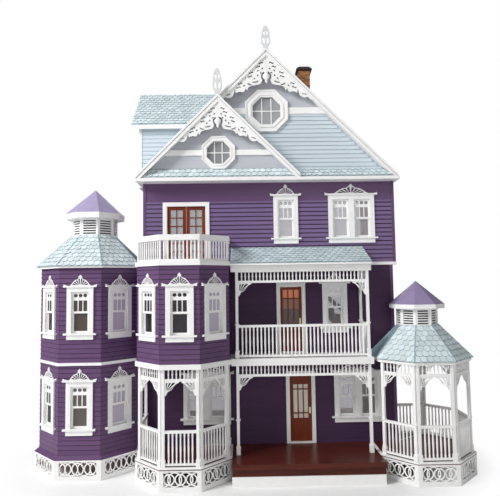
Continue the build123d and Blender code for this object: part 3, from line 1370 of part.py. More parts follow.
# Window units: casing, sill, apron, shelf and pierced crown in one piece.
CROWN_HALF = 27.0
PAIR_CROWN_HALF = 50.0
CROWN_EDGE = ((1.0, 0.0), (0.86, 0.14), (0.72, 0.34), (0.50, 0.58), (0.24, 0.70), (0.13, 0.86),
              (0.0, 1.0))
CROWN_HOLES = ((0.22, 0.36, 0.17), (0.50, 0.24, 0.14), (0.72, 0.12, 0.08), (0.0, 0.70, 0.10))
CROWN_LONG = 1.3
CROWN_SHORT = 0.75
CROWN_TURN = 40.0
LIGHT_SHIFTS = {1: (0,), 2: (-PAIR_SHIFT, PAIR_SHIFT)}
CASING_TOP = WIN_TOP + WIN_CASING
CROWN_BASE = CASING_TOP + SHELF_T
with BuildPart() as window_casings:
    for name, plane, count in WINDOWS:
        outer = unit_width(count) + 2 * WIN_CASING
        with BuildSketch(plane):
            with Locations((0, (WIN_SILL - SILL_T - APRON_H + CASING_TOP) / 2)):
                Rectangle(outer, CASING_TOP - WIN_SILL + SILL_T + APRON_H)
            for x in LIGHT_SHIFTS[count]:
                with Locations((x, WIN_SILL + WIN_OPEN_H / 2)):
                    Rectangle(WIN_OPEN_W, WIN_OPEN_H, mode=Mode.SUBTRACT)
    extrude(amount=WIN_CASING_T)
    for name, plane, count in WINDOWS:
        with BuildSketch(plane):
            with Locations((0, WIN_SILL + WIN_OPEN_H / 2)):
                Rectangle(unit_width(count) + 2 * WIN_LINER, WIN_OPEN_H + 2 * WIN_LINER)
            for x in LIGHT_SHIFTS[count]:
                with Locations((x, WIN_SILL + WIN_OPEN_H / 2)):
                    Rectangle(WIN_OPEN_W, WIN_OPEN_H, mode=Mode.SUBTRACT)
    extrude(amount=-WALL)
    for name, plane, count in WINDOWS:
        outer = unit_width(count) + 2 * WIN_CASING
        with BuildSketch(plane):
            with Locations((0, WIN_SILL - SILL_T / 2)):
                Rectangle(outer + 2 * SILL_EAR, SILL_T)
            with Locations((0, CASING_TOP + SHELF_T / 2)):
                Rectangle(outer + 2 * SHELF_EAR, SHELF_T)
    extrude(amount=SILL_OUT)
    for name, plane, count in WINDOWS:
        crown = CROWN_HALF if count == 1 else PAIR_CROWN_HALF
        with BuildSketch(plane):
            right = [(u * crown, CROWN_BASE + w * CROWN_H) for u, w in CROWN_EDGE]
            left = [(-u * crown, CROWN_BASE + w * CROWN_H) for u, w in reversed(CROWN_EDGE[:-1])]
            with BuildLine():
                Polyline(*right, *left, close=True)
            make_face()
            for u, w, r in CROWN_HOLES:
                for side in (-1, 1) if u else (1,):
                    spot = (side * u * crown, CROWN_BASE + w * CROWN_H)
                    with Locations(Location(spot, -side * CROWN_TURN)):
                        Ellipse(
                            CROWN_LONG * r * CROWN_H, CROWN_SHORT * r * CROWN_H,
                            mode=Mode.SUBTRACT,
                        )
    extrude(amount=CROWN_T)
window_casings.part.label = "window_casings"
export_step(window_casings.part, "parts/window_casings.step")

# Fixed sashes: every upper sash with its tracery, and the lower sashes of the paired units.
TRACERY_BAR = 2.2
LIGHT_TALL = 27.0
LIGHT_SMALL = 9.0
LIGHT_N = 3
LIGHTS_W = WIN_OPEN_W - 2 * SASH_STILE
LIGHT_PITCH = (LIGHTS_W + TRACERY_BAR) / LIGHT_N
UPPER_LOW = WIN_TOP - SASH_H
LOWER_LOW = WIN_SILL + SASH_GAP
LOWER_BACK = SASH_T + 2 * SASH_GAP
PANE_IN = SASH_STILE / 2
PANE_W = WIN_OPEN_W - 2 * PANE_IN
PANE_H = SASH_H - 2 * PANE_IN
PANE_BACK = (SASH_T - PANE_T) / 2
FIXED = [(p, c, x) for n, p, c in WINDOWS for x in LIGHT_SHIFTS[c]]
PAIRED = [f for f in FIXED if f[1] == 2]
with BuildPart() as fixed_sashes:
    for plane, count, x in FIXED:
        with BuildSketch(plane.offset(-SASH_GAP)):
            with Locations((x, UPPER_LOW + SASH_H / 2)):
                Rectangle(WIN_OPEN_W, SASH_H)
            with Locations((x, UPPER_LOW + SASH_STILE + LIGHT_TALL / 2)):
                with GridLocations(LIGHT_PITCH, 1, LIGHT_N, 1):
                    Rectangle(LIGHT_PITCH - TRACERY_BAR, LIGHT_TALL, mode=Mode.SUBTRACT)
            with Locations((x, WIN_TOP - SASH_STILE - LIGHT_SMALL / 2)):
                with GridLocations(LIGHT_PITCH, 1, LIGHT_N, 1):
                    Ellipse((LIGHT_PITCH - TRACERY_BAR) / 2, LIGHT_SMALL / 2, mode=Mode.SUBTRACT)
    for plane, count, x in PAIRED:
        with BuildSketch(plane.offset(-LOWER_BACK)):
            with Locations((x, WIN_SILL + SASH_H / 2)):
                Rectangle(WIN_OPEN_W, SASH_H)
                Rectangle(
                    WIN_OPEN_W - 2 * SASH_STILE, SASH_H - 2 * SASH_STILE, mode=Mode.SUBTRACT
                )
    extrude(amount=-SASH_T)
    for plane, count, x in FIXED:
        with BuildSketch(plane.offset(-SASH_GAP - PANE_BACK)):
            with Locations((x, UPPER_LOW + SASH_H / 2)):
                Rectangle(PANE_W, PANE_H)
    for plane, count, x in PAIRED:
        with BuildSketch(plane.offset(-LOWER_BACK - PANE_BACK)):
            with Locations((x, WIN_SILL + SASH_H / 2)):
                Rectangle(PANE_W, PANE_H)
    extrude(amount=-PANE_T)
fixed_sashes.part.label = "fixed_sashes"
export_step(fixed_sashes.part, "parts/fixed_sashes.step")

# Sliding lower sash of each single window, behind the upper one.
for name, plane, count in SINGLES:
    with BuildPart() as lower_sash:
        with BuildSketch(plane.offset(-LOWER_BACK)):
            with Locations((0, LOWER_LOW + SASH_H / 2)):
                Rectangle(WIN_OPEN_W - 2 * RUN, SASH_H)
                Rectangle(
                    WIN_OPEN_W - 2 * SASH_STILE, SASH_H - 2 * SASH_STILE, mode=Mode.SUBTRACT
                )
        extrude(amount=-SASH_T)
        with BuildSketch(plane.offset(-LOWER_BACK - PANE_BACK)):
            with Locations((0, LOWER_LOW + SASH_H / 2)):
                Rectangle(PANE_W, PANE_H)
        extrude(amount=-PANE_T)
    lower_sash.part.label = f"sash_{name}"
    export_step(lower_sash.part, f"parts/sash_{name}.step")

# Door frames: casing on the wall face, liner through the wall, threshold with pin sockets.
PIN_IN = LEAF_T / 2      # pin centre from the hinge edge of the leaf
LEAF_LOW = SILL_H + RUN
DOOR_OPEN_W = DOOR_FRAME_W - 2 * DOOR_JAMB
DOOR_LEAF_W = DOOR_OPEN_W - 2 * RUN
DOOR_LEAF_TOP = DOOR_TOP - DOOR_HEAD - RUN
FRENCH_OPEN_W = FRENCH_FRAME_W - 2 * DOOR_HEAD
FRENCH_LEAF_W = FRENCH_OPEN_W / 2 - 2 * RUN
FRENCH_LEAF_TOP = FRENCH_TOP - DOOR_HEAD - RUN
PIN_Y = FRONT_Y + WALL / 2
SOCKET_D = PIN_L + RUN
# Each leaf: name, pin x, floor, hinge side (minus one is left), width, top of the leaf.
LEAVES = (
    ("front_door", FRONT_DOOR_X - DOOR_LEAF_W / 2 + PIN_IN, FLOOR_1, -1, DOOR_LEAF_W, DOOR_LEAF_TOP),
    ("upper_door", UPPER_DOOR_X - DOOR_LEAF_W / 2 + PIN_IN, FLOOR_2, -1, DOOR_LEAF_W, DOOR_LEAF_TOP),
    (
        "french_door_left", FRENCH_X - FRENCH_OPEN_W / 2 + RUN + PIN_IN, FLOOR_3, -1,
        FRENCH_LEAF_W, FRENCH_LEAF_TOP,
    ),
    (
        "french_door_right", FRENCH_X + FRENCH_OPEN_W / 2 - RUN - PIN_IN, FLOOR_3, 1,
        FRENCH_LEAF_W, FRENCH_LEAF_TOP,
    ),
)
FRAMES = (
    (FRONT_DOOR_X, FLOOR_1, DOOR_FRAME_W, DOOR_OPEN_W, DOOR_TOP),
    (UPPER_DOOR_X, FLOOR_2, DOOR_FRAME_W, DOOR_OPEN_W, DOOR_TOP),
    (FRENCH_X, FLOOR_3 + FIT, FRENCH_FRAME_W, FRENCH_OPEN_W, FRENCH_TOP - FIT),
)
with BuildPart() as door_frames:
    for x, floor, outer, clear, top in FRAMES:
        with BuildSketch(wall_plane(x, floor)):
            with Locations((0, top / 2)):
                Rectangle(outer, top)
            with Locations((0, (SILL_H + top - DOOR_HEAD) / 2)):
                Rectangle(clear, top - DOOR_HEAD - SILL_H, mode=Mode.SUBTRACT)
    extrude(amount=CASING_T)
    for x, floor, outer, clear, top in FRAMES:
        with BuildSketch(wall_plane(x, floor)):
            liner_top = top - DOOR_HEAD + DOOR_LINER
            with Locations((0, liner_top / 2)):
                Rectangle(clear + 2 * DOOR_LINER, liner_top)
            with Locations((0, (SILL_H + top - DOOR_HEAD) / 2)):
                Rectangle(clear, top - DOOR_HEAD - SILL_H, mode=Mode.SUBTRACT)
    extrude(amount=-WALL)
    for name, pin_x, floor, side, wide, top in LEAVES:
        for low in (floor + SILL_H - SOCKET_D + RUN, floor + top):
            with BuildSketch(Plane.XY.offset(low)):
                with Locations((pin_x, PIN_Y)):
                    Circle(PIN_R + PIN_FIT)
    extrude(amount=SOCKET_D, mode=Mode.SUBTRACT)
door_frames.part.label = "door_frames"
export_step(door_frames.part, "parts/door_frames.step")

# Door leaves with a rounded hinge edge, pins top and bottom, lights and thin panes.
DOOR_STILE = 9.0
DOOR_PANEL_H = 48.0
DOOR_ROWS = ((0.0, 12.0), (14.5, 60.0), (77.0, 12.0))
FRENCH_ROWS = 6
LEAF_BAR = 2.5
PANEL_D = 1.2
PANE_LAP = 1.0           # pane edge set into the stile
for name, pin_x, floor, side, wide, top in LEAVES:
    tall = top - LEAF_LOW
    free = pin_x - side * (wide - PIN_IN)
    with BuildPart() as leaf:
        with BuildSketch(Plane.XY.offset(floor + LEAF_LOW)):
            with BuildLine():
                Polyline(
                    (pin_x, PIN_Y - LEAF_T / 2), (free, PIN_Y - LEAF_T / 2),
                    (free, PIN_Y + LEAF_T / 2), (pin_x, PIN_Y + LEAF_T / 2), close=True,
                )
            make_face()
            with Locations((pin_x, PIN_Y)):
                Circle(LEAF_T / 2)
        extrude(amount=tall)
        mid = (pin_x + side * PIN_IN + free) / 2
        clear = wide - 2 * DOOR_STILE
        with BuildSketch(Plane(origin=(mid, PIN_Y - LEAF_T / 2, floor + LEAF_LOW),
                               x_dir=(1, 0, 0), z_dir=(0, -1, 0))):
            if name.startswith("french"):
                pitch = (clear + LEAF_BAR) / 2
                rows = (tall - 2 * DOOR_STILE + LEAF_BAR) / FRENCH_ROWS
                with Locations((0, tall / 2)):
                    with GridLocations(pitch, rows, 2, FRENCH_ROWS):
                        Rectangle(pitch - LEAF_BAR, rows - LEAF_BAR)
            else:
                pitch = (clear + LEAF_BAR) / 3
                for up, high in DOOR_ROWS:
                    with Locations((0, DOOR_STILE + DOOR_PANEL_H + LEAF_BAR + up + high / 2)):
                        with GridLocations(pitch, 1, 3, 1):
                            Rectangle(pitch - LEAF_BAR, high)
        extrude(amount=-LEAF_T, mode=Mode.SUBTRACT)
        if not name.startswith("french"):
            with BuildSketch(Plane(origin=(mid, PIN_Y - LEAF_T / 2, floor + LEAF_LOW),
                                   x_dir=(1, 0, 0), z_dir=(0, -1, 0))):
                with Locations((0, DOOR_STILE + DOOR_PANEL_H / 2)):
                    Rectangle(clear, DOOR_PANEL_H - LEAF_BAR)
            extrude(amount=-PANEL_D, mode=Mode.SUBTRACT)
        with BuildSketch(Plane(origin=(mid, PIN_Y - PANE_T / 2, floor + LEAF_LOW),
                               x_dir=(1, 0, 0), z_dir=(0, -1, 0))):
            with Locations((0, tall / 2)):
                Rectangle(clear + 2 * PANE_LAP, tall - DOOR_STILE)
        extrude(amount=-PANE_T)
        with BuildSketch(Plane.XY.offset(floor + LEAF_LOW - PIN_L)):
            with Locations((pin_x, PIN_Y)):
                Circle(PIN_R)
        extrude(amount=tall + 2 * PIN_L)
    leaf.part.label = name
    export_step(leaf.part, f"parts/{name}.step")

# Plate and knob on the outer face of the two single doors.
HANDLE_W = 4.5
HANDLE_H = 16.0
HANDLE_T = 0.8
HANDLE_UP = 80.0
KNOB_R = 2.0
KNOB_L = 3.0
KNOB_UP = 3.0
for name, pin_x, floor, side, wide, top in LEAVES[:2]:
    handle_x = pin_x - side * (wide - PIN_IN - DOOR_STILE / 2)
    handle_face = Plane(
        origin=(handle_x, PIN_Y - LEAF_T / 2, floor + LEAF_LOW + HANDLE_UP),
        x_dir=(1, 0, 0), z_dir=(0, -1, 0),
    )
    with BuildPart() as handle:
        with BuildSketch(handle_face):
            Rectangle(HANDLE_W, HANDLE_H)
        extrude(amount=HANDLE_T)
        with BuildSketch(handle_face):
            with Locations((0, KNOB_UP)):
                Circle(KNOB_R)
        extrude(amount=HANDLE_T + KNOB_L)
    handle.part.label = f"{name}_handle"
    export_step(handle.part, f"parts/{name}_handle.step")
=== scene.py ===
"""Looks of the wooden dollhouse: paint, clapboards, shingles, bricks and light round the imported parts."""

import logging
import math
import random
from dataclasses import dataclass, field
from enum import Enum
from typing import Callable, Iterator, Optional, Sequence

import bpy
from mathutils import Matrix, Vector
from mathutils.geometry import tessellate_polygon


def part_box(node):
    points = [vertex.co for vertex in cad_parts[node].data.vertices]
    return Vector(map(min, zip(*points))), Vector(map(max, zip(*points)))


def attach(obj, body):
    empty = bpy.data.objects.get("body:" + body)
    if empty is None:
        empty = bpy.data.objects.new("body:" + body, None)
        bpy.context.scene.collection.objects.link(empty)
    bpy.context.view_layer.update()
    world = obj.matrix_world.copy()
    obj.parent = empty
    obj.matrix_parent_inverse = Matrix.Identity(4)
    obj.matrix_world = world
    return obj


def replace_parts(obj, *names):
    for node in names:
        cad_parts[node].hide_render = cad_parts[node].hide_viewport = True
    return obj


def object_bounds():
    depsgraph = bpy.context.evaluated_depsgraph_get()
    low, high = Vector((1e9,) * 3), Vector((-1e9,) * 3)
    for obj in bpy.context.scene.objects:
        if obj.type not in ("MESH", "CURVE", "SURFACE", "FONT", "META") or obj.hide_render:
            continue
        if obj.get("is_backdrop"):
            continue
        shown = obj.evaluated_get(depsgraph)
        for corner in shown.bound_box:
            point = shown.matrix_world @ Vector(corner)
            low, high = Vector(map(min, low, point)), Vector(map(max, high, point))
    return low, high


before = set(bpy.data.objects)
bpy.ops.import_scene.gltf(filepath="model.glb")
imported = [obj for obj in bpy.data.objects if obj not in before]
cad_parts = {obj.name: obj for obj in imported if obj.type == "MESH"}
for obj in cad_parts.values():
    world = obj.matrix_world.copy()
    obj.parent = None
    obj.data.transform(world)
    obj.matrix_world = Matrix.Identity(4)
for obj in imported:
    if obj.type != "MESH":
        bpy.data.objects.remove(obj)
CAD_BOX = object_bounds()
log = logging.getLogger("dollhouse")

Colour = tuple[float, float, float]
Span = tuple[float, float]
Point = tuple[float, float]
Rect = tuple[float, float, float, float]
HOUSE = "house"
TONE = "tone"            # face attribute with the brightness of a small piece
HALF_OCTANT = math.radians(22.5)
OCTANT = math.radians(45.0)

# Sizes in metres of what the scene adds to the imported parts.
COURSE = 0.0118          # height of one clapboard
LIP = 0.0016             # lower edge of a clapboard, proud of the wall
FEATHER = 0.0003         # upper edge of a clapboard
SHADOW_LINE = 0.0017     # painted shade: dark strip just under the lip above, for the shadow the lip casts
SCALE_W = 0.0155         # width of one fish-scale shingle
SCALE_EXPOSE = 0.0150    # course height of the shingles, along the slope
SCALE_GAP = 0.0006       # room between two shingles
SCALE_LIFT = 0.0021      # lower end of a shingle, over its upper end
SCALE_T = 0.0012         # upper end of a shingle, over the roof board
SCALE_ROUND = 0.85       # depth of its round end, as a share of half its width
SCALE_SIDES = 8          # runs along the round end
SCALE_SPREAD = (0.8, 1.2)  # least and greatest lift, as shares of SCALE_LIFT
MARK_DEPTH = 0.0006      # brush and grain marks
WELD_STEP = 1e5          # corners closer than a metre over this are one point
UPRIGHT = 0.1            # a face whose normal rises less is upright
TOP = 0.2                # a face whose normal rises more is a top
TOWARD = 0.5             # cosine from which a face looks a way
PARALLEL = 0.99          # cosine from which two directions count as one
INNER = 0.02             # how far a face has to look toward a middle to be an inner one


class Slot(str, Enum):
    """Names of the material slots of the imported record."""

    PURPLE = "purple_paint"
    WHITE = "white_paint"
    SHINGLE = "blue_shingle"
    SIDING = "blue_siding"
    MAHOGANY = "mahogany"
    FLOOR = "wood_floor"
    BRICK = "brick"
    CAP = "dark_cap"


class Grain(Enum):
    """Way the wood grain runs, as noise stretch along X, Y and Z."""

    NONE = (1.0, 1.0, 1.0)
    ALONG_X = (0.06, 1.0, 1.0)
    ALONG_Z = (1.0, 1.0, 0.06)


class Graph:
    """Short way to write a shader graph."""

    def __init__(self, name: str) -> None:
        """Starts an empty material.

        Args:
            name: name of the material.
        """
        self.material = bpy.data.materials.new(name)
        self.material.use_nodes = True
        self.tree = self.material.node_tree
        self.tree.nodes.clear()
        self.out = self.tree.nodes.new("ShaderNodeOutputMaterial")

    def node(self, kind: str, **inputs: object) -> bpy.types.ShaderNode:
        """Adds a node.

        Args:
            kind: node type without its ShaderNode prefix.
            inputs: socket values or output sockets by socket name, spaces written as underscores.

        Returns:
            The new node.
        """
        made = self.tree.nodes.new("ShaderNode" + kind)
        for key, value in inputs.items():
            socket = made.inputs[key.replace("_", " ")]
            if isinstance(value, bpy.types.NodeSocket):
                self.tree.links.new(value, socket)
            else:
                socket.default_value = value
        return made

    def ramp(
        self, source: bpy.types.NodeSocket, stops: Sequence[tuple[float, Colour]]
    ) -> bpy.types.NodeSocket:
        """Adds a colour ramp.

        Args:
            source: value that picks the colour.
            stops: places and colours.

        Returns:
            The colour output.
        """
        made = self.node("ValToRGB", Fac=source)
        spots = made.color_ramp.elements
        while len(spots) < len(stops):
            spots.new(0.5)
        for spot, (place, colour) in zip(spots, stops):
            spot.position = place
            spot.color = (*colour, 1.0)
        return made.outputs["Color"]

    def close(self, surface: bpy.types.NodeSocket) -> bpy.types.Material:
        """Links the surface to the output and returns the material."""
        self.tree.links.new(surface, self.out.inputs["Surface"])
        return self.material


def shade(colour: Colour, factor: float) -> Colour:
    """Colour made lighter or darker by a factor."""
    return tuple(min(1.0, part * factor) for part in colour)


@dataclass(frozen=True)
class Coating:
    """Surface that becomes a material when it is first used.

    Attributes:
        name: name of the material.
    """

    name: str

    def material(self) -> bpy.types.Material:
        """Material of that name, made at the first call."""
        return bpy.data.materials.get(self.name) or self.mix()

    def mix(self) -> bpy.types.Material:
        """Makes the material."""
        raise NotImplementedError


@dataclass(frozen=True)
class Finish(Coating):
    """Paint or stain with slight unevenness.

    Attributes:
        colour: linear base colour.
        roughness: roughness of the surface.
        mottle: share by which the colour varies.
        size: noise cells per metre.
        bump: strength of the brush or grain marks.
        grain: way the marks run.
        coat: share of clear varnish on top.
        metal: share of metal.
        shine: strength of the plain reflection.
    """

    colour: Colour
    roughness: float = 0.5
    mottle: float = 0.08
    size: float = 90.0
    bump: float = 0.06
    grain: Grain = Grain.NONE
    coat: float = 0.0
    metal: float = 0.0
    shine: float = 0.4

    def mix(self) -> bpy.types.Material:
        """Makes the material.

        Returns:
            The material.
        """
        graph = Graph(self.name)
        place = graph.node("TexCoord").outputs["Object"]
        spot = graph.node("Mapping", Vector=place, Scale=self.grain.value).outputs["Vector"]
        noise = graph.node("TexNoise", Vector=spot, Scale=self.size, Detail=4.0, Roughness=0.6)
        fine = graph.node("TexNoise", Vector=spot, Scale=self.size * 9.0, Detail=3.0)
        tone = graph.ramp(
            noise.outputs["Fac"],
            ((0.3, shade(self.colour, 1.0 - self.mottle)), (0.7, shade(self.colour, 1.0 + self.mottle))),
        )
        marks = graph.node("Bump", Strength=self.bump, Distance=MARK_DEPTH, Height=fine.outputs["Fac"])
        surface = graph.node(
            "BsdfPrincipled",
            Base_Color=tone,
            Roughness=self.roughness,
            Metallic=self.metal,
            Specular_IOR_Level=self.shine,
            Coat_Weight=self.coat,
            Coat_Roughness=0.08,
            Normal=marks.outputs["Normal"],
        )
        return graph.close(surface.outputs["BSDF"])


@dataclass(frozen=True)
class ToneFinish(Finish):
    """Finish whose brightness also follows each small piece's own tone."""

    def mix(self) -> bpy.types.Material:
        """Makes the material.

        Returns:
            The material.
        """
        graph = Graph(self.name)
        place = graph.node("TexCoord").outputs["Object"]
        noise = graph.node("TexNoise", Vector=place, Scale=self.size, Detail=4.0, Roughness=0.6)
        tone = graph.node("Attribute")
        tone.attribute_name = TONE
        swing = 2.0 * self.mottle
        light = graph.ramp(
            tone.outputs["Fac"],
            ((0.0, shade(self.colour, 1.0 - swing)), (1.0, shade(self.colour, 1.0 + swing))),
        )
        worn = graph.ramp(noise.outputs["Fac"], ((0.25, (0.9, 0.9, 0.9)), (0.75, (1.0, 1.0, 1.0))))
        mixed = graph.node("Mix")
        mixed.data_type = "RGBA"
        mixed.blend_type = "MULTIPLY"
        mixed.inputs["Factor"].default_value = 1.0
        colour_in = [s for s in mixed.inputs if s.type == "RGBA"]
        graph.tree.links.new(light, colour_in[0])
        graph.tree.links.new(worn, colour_in[1])
        colour_out = next(s for s in mixed.outputs if s.type == "RGBA")
        marks = graph.node("Bump", Strength=self.bump, Distance=MARK_DEPTH, Height=noise.outputs["Fac"])
        surface = graph.node(
            "BsdfPrincipled",
            Base_Color=colour_out,
            Roughness=self.roughness,
            Normal=marks.outputs["Normal"],
        )
        return graph.close(surface.outputs["BSDF"])


@dataclass(frozen=True)
class Glazing(Coating):
    """Thin pane that lets part of the light through.

    Attributes:
        clear: colour of the light let through.
        film: colour of what the pane sends back, painted light that stands for the room as it shows in the
            pane.
        share: share of the film.
    """

    clear: Colour
    film: Colour
    share: float

    def mix(self) -> bpy.types.Material:
        """Makes the material.

        Returns:
            The material.
        """
        graph = Graph(self.name)
        through = graph.node("BsdfTransparent", Color=(*self.clear, 1.0))
        film = graph.node("BsdfPrincipled", Base_Color=(*self.film, 1.0), Roughness=0.12)
        view = graph.node("MixShader", Fac=self.share)
        graph.tree.links.new(through.outputs["BSDF"], view.inputs[1])
        graph.tree.links.new(film.outputs["BSDF"], view.inputs[2])
        shine = graph.node("BsdfGlossy", Roughness=0.02)
        edge = graph.node("Fresnel", IOR=1.45)
        full = graph.node("MixShader", Fac=edge.outputs["Fac"])
        graph.tree.links.new(view.outputs["Shader"], full.inputs[1])
        graph.tree.links.new(shine.outputs["BSDF"], full.inputs[2])
        return graph.close(full.outputs["Shader"])


# Name, colour, roughness, mottle, size, bump and grain of each paint or stain.
PURPLE = Finish(
    "purple_clapboard", (0.120, 0.061, 0.146), 0.42, 0.10, 70.0, 0.08, Grain.ALONG_X, shine=0.3
)
# Lighter, bluer copy of the purple paint: painted sheen on the third-floor clapboards.
PURPLE_UPPER_SHEEN = Finish("purple_third_floor_painted_sheen", (0.160, 0.100, 0.235), 0.42, 0.10, 70.0, 0.08, Grain.ALONG_X)
# Darker copy of the purple paint: painted shade on the lower front wall, which the porch roofs and the bay
# shade.
PURPLE_PORCH_SHADE = Finish(
    "purple_porch_wall_painted_shade", (0.059, 0.026, 0.068), 0.48, 0.10, 70.0, 0.08, Grain.ALONG_X, shine=0.15
)
# Painted shade: the dark strips under the purple clapboard lips and their undersides.
PURPLE_SHADE_LINE = Finish("purple_shadow_line", (0.032, 0.017, 0.042), 0.6)
WHITE = Finish("white_trim", (0.86, 0.855, 0.85), 0.42, 0.025, 60.0, 0.05)
# Grey instead of white: painted shade, so that the white finials show against the white backdrop.
FINIAL_SHADE_GREY = Finish("finial_painted_shade", (0.66, 0.665, 0.68), 0.45, 0.03, 60.0, 0.05)
# Painted shade: a flat grey strip under the rake bead that stands for the shadow in a groove.
GROOVE_SHADE = Finish("groove_shadow", (0.40, 0.41, 0.43), 0.6)
SIDING = Finish("blue_grey_siding", (0.58, 0.655, 0.71), 0.5, 0.04, 70.0, 0.06, Grain.ALONG_X)
# Darker, greyer copy of the siding colour: painted shade on the plain gable walls under the rakes.
GABLE_SHADE_GREY = Finish("gable_board_painted_shade", (0.47, 0.485, 0.53), 0.5, 0.05, 60.0, 0.06, Grain.ALONG_X)
# Painted shade: the dark strips under the siding lips and their undersides.
SIDING_SHADE_LINE = Finish("siding_shadow_line", (0.40, 0.47, 0.53), 0.6)
SHINGLE = ToneFinish("blue_shingle_face", (0.69, 0.79, 0.82), 0.55, 0.06, 160.0, 0.12)
# Painted shade: the dark sides of each shingle stand for the shadow between shingles.
SHINGLE_EDGE_SHADE = Finish("blue_shingle_edge_shade", (0.20, 0.29, 0.33), 0.6)
SHINGLE_BASE = Finish("roof_board", (0.30, 0.41, 0.46), 0.7)
LILAC = Finish("lilac_cap", (0.39, 0.34, 0.53), 0.45, 0.06, 50.0, 0.06)
# Darker copy of the lilac paint: painted shade on the gazebo cap.
LILAC_SHADE = Finish("lilac_gazebo_cap_painted_shade", (0.29, 0.235, 0.395), 0.45, 0.06, 50.0, 0.06)
DECK_WOOD = Finish(
    "mahogany_deck", (0.078, 0.015, 0.009), 0.32, 0.35, 130.0, 0.05, Grain.ALONG_X, coat=0.03, shine=0.2
)
DOOR_WOOD = Finish(
    "mahogany_door", (0.17, 0.031, 0.012), 0.42, 0.30, 150.0, 0.06, Grain.ALONG_Z, shine=0.2
)
BOARD_WOOD = Finish("floor_board", (0.42, 0.27, 0.16), 0.45, 0.20, 120.0, 0.06, Grain.ALONG_X)
ROOM_PAINT = Finish("room_paint", (0.52, 0.45, 0.50), 0.7, 0.05, 40.0, 0.04)
BRICK = ToneFinish("miniature_brick", (0.45, 0.20, 0.075), 0.8, 0.18, 500.0, 0.5)
MORTAR = Finish("mortar", (0.33, 0.24, 0.17), 0.9, 0.2, 400.0, 0.4)
CAP_PAINT = Finish("chimney_cap_paint", (0.045, 0.028, 0.026), 0.6, 0.3, 200.0, 0.3)
# Painted shade: a dark sheet that stands for the shade inside the cupolas.
SHADOW = Finish("louvre_painted_shade", (0.030, 0.026, 0.030), 0.9, 0.1)
BRASS = Finish("brass_plate", (0.78, 0.63, 0.38), 0.3, 0.05, 200.0, 0.03, metal=0.9)
# Name, colour let through, film and its share for each kind of glass. The films are painted light: flat
# colours for the room as it shows in each pane, pale where it shows lit, dark where it shows in shade.
GLASS_DARK = Glazing("glass_dark_room", (0.30, 0.29, 0.31), (0.035, 0.03, 0.035), 0.45)
GLASS_BROWN = Glazing("glass_brown_room", (0.34, 0.30, 0.27), (0.16, 0.13, 0.11), 0.55)
GLASS_GREY = Glazing("glass_grey_attic", (0.40, 0.41, 0.42), (0.36, 0.37, 0.385), 0.70)
GLASS_CREAM = Glazing("glass_cream_door", (0.80, 0.76, 0.66), (0.80, 0.75, 0.63), 0.80)
GLASS_SUN = Glazing("glass_sunset_door", (0.80, 0.40, 0.28), (0.95, 0.32, 0.17), 0.90)
GLASS_AMBER = Glazing("glass_amber_door", (0.60, 0.40, 0.32), (0.40, 0.20, 0.15), 0.75)
GLASS_DUSK = Glazing("glass_dusk_door", (0.50, 0.44, 0.42), (0.17, 0.145, 0.14), 0.75)
GLASS_PALE = Glazing("glass_lilac_room", (0.70, 0.66, 0.74), (0.62, 0.56, 0.68), 0.75)
GLASS_CLEAR = Glazing("glass_clear", (0.72, 0.72, 0.74), (0.45, 0.43, 0.44), 0.30)

UP = Vector((0.0, 0.0, 1.0))
FRONT = Vector((0.0, -1.0, 0.0))
BACK = Vector((0.0, 1.0, 0.0))
RIGHT = Vector((1.0, 0.0, 0.0))
LEFT = Vector((-1.0, 0.0, 0.0))
SLIT_STEPS = 6           # runs in each half of a slit's edge


def area(loop: Sequence[Point]) -> float:
    """Signed area of a flat loop, positive if it runs anticlockwise."""
    pairs = zip(loop, [*loop[1:], loop[0]])
    return sum(ax * by - bx * ay for (ax, ay), (bx, by) in pairs) / 2


def rectangle(left: float, right: float, low: float, high: float) -> list[Point]:
    """Corners of an upright rectangle, anticlockwise from its lower left."""
    return [(left, low), (right, low), (right, high), (left, high)]


def smooth(points: Sequence[Point], steps: int = 4) -> list[Point]:
    """Soft curve through a few points.

    Args:
        points: places the curve passes.
        steps: short runs between two of them.

    Returns:
        The points of the curve, ends included.
    """
    ends = [points[0], *points, points[-1]]
    curve = []
    for k in range(len(points) - 1):
        a, b, c, d = (Vector(point) for point in ends[k:k + 4])
        for step in range(steps):
            t = step / steps
            spot = (
                b * 2 + (c - a) * t
                + (a * 2 - b * 5 + c * 4 - d) * t * t
                + (b * 3 - a - c * 3 + d) * t ** 3
            )
            curve.append(tuple(spot / 2))
    return [*curve, tuple(points[-1])]


def slit(middle: Point, turn: float, long: float, thick: float, bend: float, wavy: bool) -> list[Point]:
    """Edge of a curved slit with pointed ends.

    Args:
        middle: middle of the slit.
        turn: tilt in degrees.
        long: length.
        thick: width at the middle.
        bend: how far it bows.
        wavy: whether it runs in an S instead of a bow.

    Returns:
        The points of its edge.
    """
    upper, lower = [], []
    for k in range(-SLIT_STEPS, SLIT_STEPS + 1):
        share = k / SLIT_STEPS
        bow = math.sin(math.pi * share) if wavy else 1.0 - share * share
        half = thick / 2 * (1.0 - share ** 4)
        upper.append((long / 2 * share, bend * bow + half))
        lower.append((long / 2 * share, bend * bow - half))
    cos, sin = math.cos(math.radians(turn)), math.sin(math.radians(turn))
    edge = lower + upper[-2:0:-1]
    return [(middle[0] + x * cos - y * sin, middle[1] + x * sin + y * cos) for x, y in edge]


@dataclass(frozen=True)
class Board:
    """Flat place for pierced work.

    Attributes:
        origin: where both measures are zero.
        across: direction of the first measure; the second one runs straight up.
    """

    origin: Vector
    across: Vector

    def at(self, spot: Point, out: float = 0.0) -> Vector:
        """Point in space for a flat point, a little way out of the plane."""
        return self.origin + self.across * spot[0] + UP * spot[1] + self.out() * out

    def out(self) -> Vector:
        """Direction out of the plane."""
        return self.across.cross(UP)


